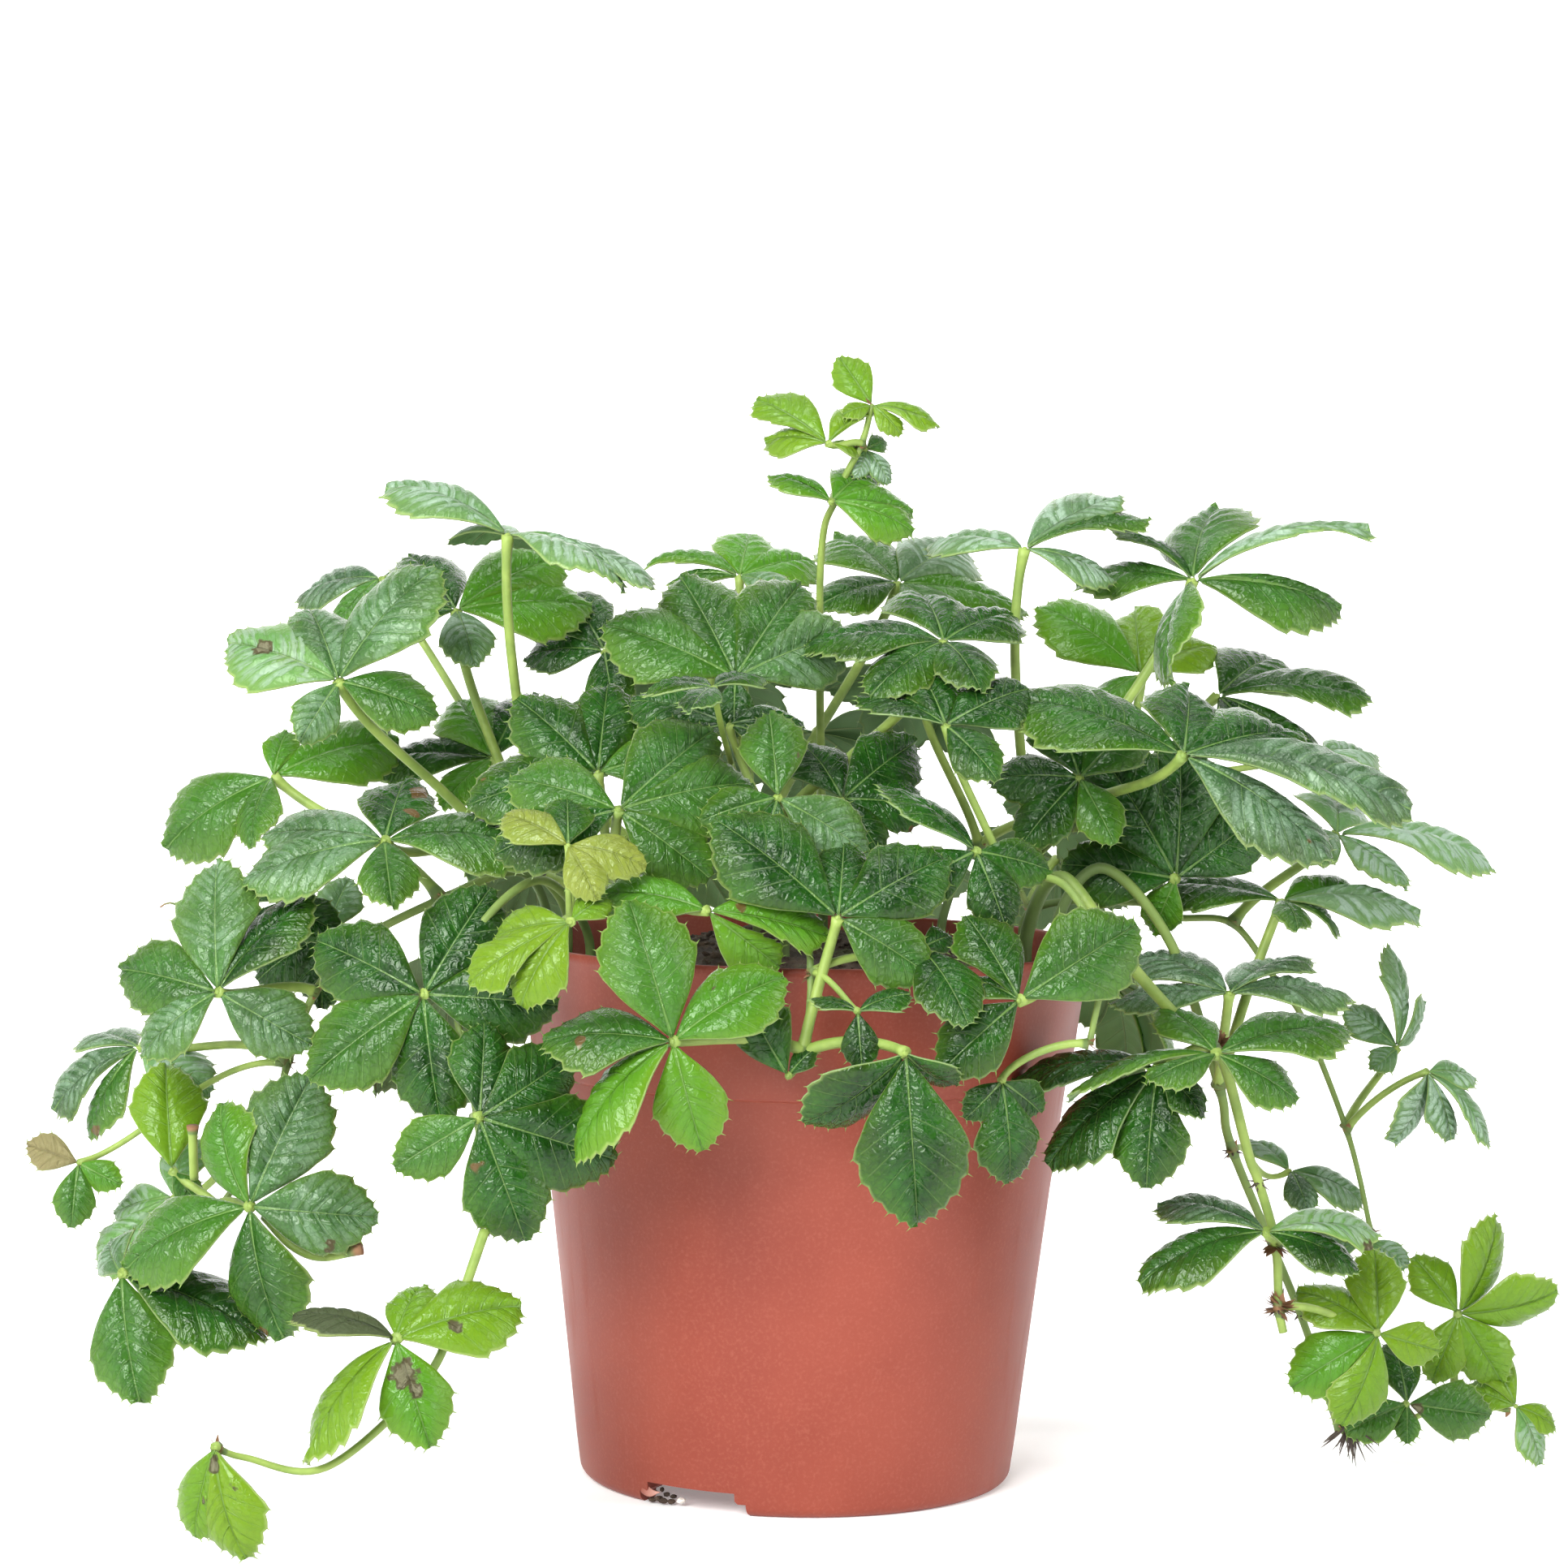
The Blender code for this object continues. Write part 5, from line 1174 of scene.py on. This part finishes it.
def pot_profile():
    """The pot's whole section with its small rounds, from the floor's underside to its top."""
    collar = POT_HEIGHT - COLLAR_HEIGHT
    foot_inside = BASE_RADIUS - FOOT_WIDTH
    floor = FOOT_HEIGHT + FLOOR
    rounding = [(BASE_RADIUS + BASE_ROUND * math.sin(a) - 1.1, BASE_ROUND - BASE_ROUND * math.cos(a))
                for a in np.linspace(0.3, 1.5, 7)]
    rounding = [(min(r, pot_outer(z) + 1.15), z) for r, z in rounding]
    wall = [(pot_outer(z) + swell, z) for z, swell in WALL_SWELL]
    inside, top = RIM_RADIUS - RIM_ROUND, POT_HEIGHT - RIM_ROUND
    lip = [(inside + RIM_ROUND * math.cos(a), top + RIM_ROUND * math.sin(a))
           for a in np.linspace(0, math.pi * 0.95, 9)]
    return [
        (0.01, FOOT_HEIGHT), (20, FOOT_HEIGHT), (foot_inside - 0.5, FOOT_HEIGHT),
        (foot_inside, FOOT_HEIGHT - 0.5), (foot_inside, 0.4), (foot_inside + 0.4, 0.0),
        (BASE_RADIUS - 0.6, 0.0), *rounding, *wall, (pot_outer(collar) - 0.1, collar - 0.3),
        (pot_outer(collar) - 0.08, collar), (pot_outer(collar) + COLLAR_STEP - 0.15, collar + 0.35),
        (pot_outer(collar) + COLLAR_STEP, collar + 0.8),
        (pot_outer(100) + 0.55, 100), (RIM_RADIUS - 0.75, POT_HEIGHT - 2.6),
        (RIM_RADIUS - 0.15, POT_HEIGHT - 1.9), *lip,
        (RIM_RADIUS - WALL - 0.8, POT_HEIGHT - 1.8),
        (pot_outer(floor) - WALL, floor + 1.2), (pot_outer(floor) - WALL - 1.4, floor), (0.01, floor),
    ]


def soil_profile():
    """The soil's section, from the pot's floor up the wall and over the mound to its middle."""
    floor = FOOT_HEIGHT + FLOOR + 0.3
    edge = pot_outer(SOIL_EDGE) - WALL - 0.75
    side = [(0.01, floor), (pot_outer(floor) - WALL - 2.4, floor),
            (pot_outer(floor + 2) - WALL - 0.75, floor + 2), (edge, SOIL_EDGE - 0.5)]
    radii = [edge * (1 - k / SOIL_RINGS) + 0.01 for k in range(1, SOIL_RINGS + 1)]
    return side + [(r, float(soil_height(r, 0))) for r in radii]


def soil_lumps(x, y, z):
    """How far the soil's top stands off its turned section."""
    lift = soil_height(x, y) - soil_height(np.hypot(x, y), 0)
    rough = np.sin(x * 1.9 + 2 * np.sin(y * 1.3)) * np.cos(y * 1.7 + 1.5 * np.sin(x * 1.1))
    return np.where(z > SOIL_EDGE - 0.2, lift + 0.35 * rough, 0.0)


def drain_cutter(angle):
    """A block with rounded long edges, seated across the foot ring at an angle about the pot."""
    below = 6.0
    model = bmesh.new()
    bmesh.ops.create_cube(model, size=1.0)
    size = Vector((DRAIN_LENGTH, DRAIN_WIDTH, DRAIN_HEIGHT + below))
    bmesh.ops.scale(model, vec=size, verts=model.verts)
    edges = [edge for edge in model.edges if abs((edge.verts[0].co - edge.verts[1].co).x) > 1]
    bmesh.ops.bevel(model, geom=edges, offset=DRAIN_ROUND, segments=5, affect="EDGES")
    middle = (DRAIN_HEIGHT - below) / 2
    place = Vector((DRAIN_REACH * math.cos(angle), DRAIN_REACH * math.sin(angle), middle))
    turn = Matrix.Translation(place * MM) @ Matrix.Rotation(angle, 4, "Z") @ Matrix.Scale(MM, 4)
    bmesh.ops.transform(model, matrix=turn, verts=model.verts)
    return link_model(model, "drain_cutter")


def cut_drains(pot):
    """Notch the foot ring at the drain openings, which are spaced evenly round it."""
    for k in range(DRAIN_COUNT):
        cutter = drain_cutter(math.radians(FIRST_DRAIN + 360.0 / DRAIN_COUNT * k))
        take = pot.modifiers.new("drain", "BOOLEAN")
        take.operation = "DIFFERENCE"
        take.object = cutter
        take.solver = "EXACT"
        bpy.context.view_layer.objects.active = pot
        bpy.ops.object.modifier_apply(modifier=take.name)
        bpy.data.objects.remove(cutter, do_unlink=True)


def weld(item):
    """Join the points that lie together on the axis, and turn every face outwards."""
    model = bmesh.new()
    model.from_mesh(item.data)
    bmesh.ops.remove_doubles(model, verts=model.verts, dist=0.12 * MM)
    bmesh.ops.recalc_face_normals(model, faces=model.faces)
    model.to_mesh(item.data)
    model.free()


def keep_edges_crisp(item, degrees):
    """Smooth shading that stops at edges sharper than an angle."""
    model = bmesh.new()
    model.from_mesh(item.data)
    for edge in model.edges:
        edge.smooth = len(edge.link_faces) != 2 or edge.calc_face_angle(0) < math.radians(degrees)
    model.to_mesh(item.data)
    model.free()


def dress(item, slot, *nodes):
    """Seat a piece on the plant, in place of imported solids."""
    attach(item, "root")
    if nodes:
        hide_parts(*nodes)


def colour_setting(name, description, default):
    """A colour that the user may change."""
    return bpy.props.FloatVectorProperty(
        name=name, description=description, default=default,
        subtype="COLOR", size=3, min=0.0, max=1.0)


class GrapeIvyProperties(bpy.types.PropertyGroup):
    """Sizes and colours of the grape ivy."""

    leaflet_width: bpy.props.FloatProperty(
        name="Leaflet width", description="Half-width of a leaflet as a share of its length",
        default=0.315, min=0.15, max=0.45, subtype="FACTOR")
    leaf_thickness: bpy.props.FloatProperty(
        name="Leaf thickness", description="Thickness of the leaf blades",
        default=0.32 * MM, min=0.1 * MM, max=0.8 * MM, precision=5, unit="LENGTH")
    tooth_height: bpy.props.FloatProperty(
        name="Tooth height", description="Height of the edge teeth as a share of the leaflet's length",
        default=0.032, min=0.0, max=0.15, subtype="FACTOR")
    quilting: bpy.props.FloatProperty(
        name="Quilting", description="How far the blade rises between its veins",
        default=0.95 * MM, min=0.0, max=2.0 * MM, precision=5, unit="LENGTH")
    ruffle: bpy.props.FloatProperty(
        name="Ruffle", description="Wave of the leaf edges as a share of the leaflet's length",
        default=0.02, min=0.0, max=0.1, subtype="FACTOR")
    # The old and mature greens also serve as painted shade for leaflets that lie in shade
    old_leaf: colour_setting("Old leaf", "Colour of the oldest leaves", (0.002, 0.017, 0.002))
    mature_leaf: colour_setting("Mature leaf", "Colour of mature leaves", (0.011, 0.071, 0.005))
    bright_leaf: colour_setting("Bright leaf", "Colour of full green leaves", (0.070, 0.222, 0.013))
    young_leaf: colour_setting("Young leaf", "Colour of young lime leaves", (0.172, 0.29, 0.014))
    leaf_underside: colour_setting("Leaf underside", "Colour of the pale undersides", (0.17, 0.28, 0.13))
    stem_green: colour_setting("Stem", "Colour of green stems", (0.26, 0.36, 0.07))
    pot_colour: colour_setting("Pot", "Colour of the pot's plastic", (0.205, 0.0355, 0.0195))
    soil_colour: colour_setting("Soil", "Colour of the peat", (0.035, 0.022, 0.015))


class IVY_OT_pot(bpy.types.Operator):
    """Replace the pot's solid with a smooth moulded pot"""

    bl_idname = "ivy.pot"
    bl_label = "Pot"

    def execute(self, context):
        sheet = Sheet()
        turned(sheet, pot_profile(), 176)
        pot = sheet.build("nursery_pot", [pot_finish(context.scene.grape_ivy)])
        weld(pot)
        cut_drains(pot)
        for face in pot.data.polygons:
            face.use_smooth = True
        keep_edges_crisp(pot, 38)
        dress(pot, "pot", "pot")
        self.torn_lip(pot.data.materials[0])
        return {"FINISHED"}

    @staticmethod
    def torn_lip(finish):
        """A curled sliver of plastic at the end of the front drain notch."""
        rows = []
        for t in np.linspace(0, 1, 9):
            sag = np.array((0, -0.5, -0.6)) * math.sin(math.pi * t)
            middle = np.array(LIP_ROOT) + np.array(LIP_REACH) * t + sag
            width = 1.1 * (1 - t) ** 0.7 + 0.12
            ring = [middle + np.array((0.35 * math.sin(a), -0.28 * math.cos(a), width * math.sin(a)))
                    for a in np.linspace(0, TAU, 10, endpoint=False)]
            rows.append(ring)
        sheet = Sheet("torn")
        grid = np.array(rows)
        sheet.patch(grid, 0, wrap=True, torn=np.linspace(0.1, 1.0, len(rows))[:, None])
        dress(sheet.build("torn_lip", [finish]), "pot")


class IVY_OT_soil(bpy.types.Operator):
    """Fill the pot with crumbly, mossy peat, and drop a little at the drain"""

    bl_idname = "ivy.soil"
    bl_label = "Soil"

    def execute(self, context):
        finish = soil_finish(context.scene.grape_ivy)
        sheet = Sheet()
        turned(sheet, soil_profile(), 150, soil_lumps)
        dress(sheet.build("peat", [finish]), "soil", "soil")
        crumbs = self.crumbs(random.Random(5))
        crumbs.data.materials.append(finish)
        dress(crumbs, "soil")
        dropped = lumps_of(DROPPED, "dropped_peat", finish, random.Random(8))
        dress(dropped, "soil")
        dress(lumps_of([GRIT], "perlite", perlite_finish(), random.Random(9)), "soil")
        return {"FINISHED"}

    @staticmethod
    def crumbs(chance):
        """Loose crumbs lying on the peat."""
        model = bmesh.new()
        for _ in range(CRUMB_COUNT):
            angle, radius = chance.uniform(0, TAU), CRUMB_REACH * math.sqrt(chance.random())
            x, y = radius * math.cos(angle), radius * math.sin(angle)
            size = chance.uniform(0.35, 1.15)
            made = bmesh.ops.create_icosphere(model, subdivisions=1, radius=size)
            stretch = Vector([chance.uniform(*span) for span in ((0.6, 2.2), (0.6, 1.3), (0.4, 0.9))])
            axis = Vector((chance.uniform(-0.4, 0.4), chance.uniform(-0.4, 0.4), 1)).normalized()
            turn = Quaternion(axis, chance.uniform(0, TAU))
            place = Vector((x, y, float(soil_height(x, y)) + size * 0.2))
            for vertex in made["verts"]:
                vertex.co *= chance.uniform(0.75, 1.2)
                vertex.co = turn @ (vertex.co * stretch) + place
        for vertex in model.verts:
            vertex.co *= MM
        return link_model(model, "peat_crumbs")


class IVY_OT_shoots(bpy.types.Operator):
    """Replace each shoot's solid with fine leaves and a fine stem"""

    bl_idname = "ivy.shoots"
    bl_label = "Shoots"

    def execute(self, context):
        props = context.scene.grape_ivy
        faces = [leaf_finish(props, False), leaf_finish(props, True)]
        bark = stem_finish(props)
        leaves = {**LEAVES, **back_leaves()}
        for order, (name, stem) in enumerate(STEMS.items()):
            chance = random.Random(100 + order)
            slot = "young_foliage" if name.startswith("young") else "foliage"
            foliage = Sheet("rib", "side", "share", "youth", "pallor_and_sheen", "wither", "blemish", "place")
            stems = Sheet("age")
            add_stem(stems, name, {leaf[0] for leaf in leaves[name]}, random.Random(order))
            for k, leaf in enumerate(leaves[name]):
                add_leaf(foliage, props, leaf, order * 20 + k, chance)
                start = Vector(stem[leaf[0]]) + stalk_offset(k)
                rough = name == ROUGH_SHOOT and leaf[0] >= FIRST_ROUGH_POINT
                add_scales(stems, start, *(ROUGH_SCALES if rough else SCALES), chance)
                add_stalk(stems, start, leaf, chance)
            dress(foliage.build(name + "_leaves", faces), slot, name)
            dress(stems.build(name + "_stems", [bark]), slot)
        return {"FINISHED"}


class IVY_OT_details(bpy.types.Operator):
    """Add the tendril, cut stalks and tufts of dry roots"""

    bl_idname = "ivy.details"
    bl_label = "Tendrils and roots"

    def execute(self, context):
        finish = stem_finish(context.scene.grape_ivy)
        chance = random.Random(31)
        sheet = Sheet("age")
        for route in TENDRILS:
            line = curve_through(route, 0.8)
            share = np.linspace(0, 1, len(line))
            radii = TENDRIL_RADIUS * (1 - 0.6 * share)
            add_tube(sheet, line, radii, 7, age=0.25 + 0.5 * share ** 4)
        for route in CUT_STALKS:
            line = curve_through(route, 0.8)
            share = np.linspace(0, 1, len(line))
            end = np.exp(-((1 - share) / 0.12) ** 2)
            add_tube(sheet, line, CUT_STALK_RADIUS + 0.35 * end, 9, 0.05, age=0.9 * end)
        for place, way, length, count in ROOT_TUFTS:
            add_roots(sheet, place, way, length, count, chance)
        dress(sheet.build("tendrils_and_roots", [finish]), "foliage")
        return {"FINISHED"}


class IVY_OT_stage(bpy.types.Operator):
    """Set the floor, the lights and the camera"""

    bl_idname = "ivy.stage"
    bl_label = "Studio"

    def execute(self, context):
        self.floor()
        self.sky(context.scene)
        for name, place, size, power, aim in LIGHTS:
            self.light(name, place, size, power, aim)
        self.camera(context.scene)
        return {"FINISHED"}

    @staticmethod
    def floor():
        """A round floor that turns up into a low wall, which is highest behind the plant."""
        bend = FLOOR_BEND
        turn = [(FLOOR_REACH - bend + bend * math.sin(a), bend - bend * math.cos(a))
                for a in np.linspace(0, math.pi / 2, 12)]
        rows = []
        for angle in np.linspace(0, TAU, 97):
            across, along = math.cos(angle), math.sin(angle)
            top = 1.5 + (2.0 if along > 0 else 0.7) * along ** 2
            line = [(0.0, 0.0), (3.0, 0.0), (4.4, 0.0), *turn, (FLOOR_REACH, top)]
            rows.append([(out * across, out * along + FLOOR_SHIFT, height) for out, height in line])
        sheet = Sheet()
        sheet.patch(np.array(rows) / MM, flip=True)
        item = sheet.build("studio_floor", [floor_finish()])

    @staticmethod
    def sky(scene):
        """A faint even light from all round."""
        world = bpy.data.worlds.new("studio")
        world.use_nodes = True
        back = world.node_tree.nodes["Background"]
        back.inputs["Color"].default_value = (1.0, 1.0, 1.0, 1.0)
        back.inputs["Strength"].default_value = 0.01
        scene.world = world
        scene.view_settings.view_transform = "Standard"

    @staticmethod
    def light(name, place, size, power, aim):
        """A soft box that faces a place."""
        lamp = bpy.data.lights.new(name, "AREA")
        lamp.shape = "RECTANGLE"
        lamp.size, lamp.size_y = size
        lamp.energy = power
        item = bpy.data.objects.new(name, lamp)
        item.location = place
        item.rotation_euler = (Vector(aim) - Vector(place)).to_track_quat("-Z", "Y").to_euler()
        bpy.context.scene.collection.objects.link(item)

    @staticmethod
    def camera(scene):
        """The photograph's view."""
        data = bpy.data.cameras.new("view")
        data.sensor_width = SENSOR_MM
        data.lens = FOCAL_PIXELS / FRAME_PIXELS * SENSOR_MM
        data.clip_start = 0.05
        item = bpy.data.objects.new("view", data)
        eye, aim = Vector(EYE) * MM, Vector(AIM) * MM
        look = (aim - eye).to_track_quat("-Z", "Y")
        item.location = eye
        item.rotation_euler = (look @ Quaternion((0, 0, 1), math.radians(TILT_DEGREES))).to_euler()
        scene.collection.objects.link(item)
        scene.camera = item


class IVY_PT_panel(bpy.types.Panel):
    """Lists the plant's settings and pieces"""

    bl_label = "Grape Ivy"
    bl_idname = "IVY_PT_panel"
    bl_space_type = "VIEW_3D"
    bl_region_type = "UI"
    bl_category = "Grape Ivy"

    def draw(self, context):
        layout = self.layout
        for name in GrapeIvyProperties.__annotations__:
            layout.prop(context.scene.grape_ivy, name)
        for operator in OPERATORS:
            layout.operator(operator.bl_idname)


OPERATORS = (IVY_OT_pot, IVY_OT_soil, IVY_OT_shoots, IVY_OT_details, IVY_OT_stage)
CLASSES = (GrapeIvyProperties, *OPERATORS, IVY_PT_panel)


def register():
    """Add the classes and the plant's settings."""
    for item in CLASSES:
        bpy.utils.register_class(item)
    bpy.types.Scene.grape_ivy = bpy.props.PointerProperty(type=GrapeIvyProperties)


def unregister():
    """Take them away again."""
    del bpy.types.Scene.grape_ivy
    for item in reversed(CLASSES):
        bpy.utils.unregister_class(item)


def main():
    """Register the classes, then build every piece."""
    register()
    bpy.ops.ivy.pot()
    bpy.ops.ivy.soil()
    bpy.ops.ivy.shoots()
    bpy.ops.ivy.details()
    bpy.ops.ivy.stage()


if __name__ == "__main__":
    main()
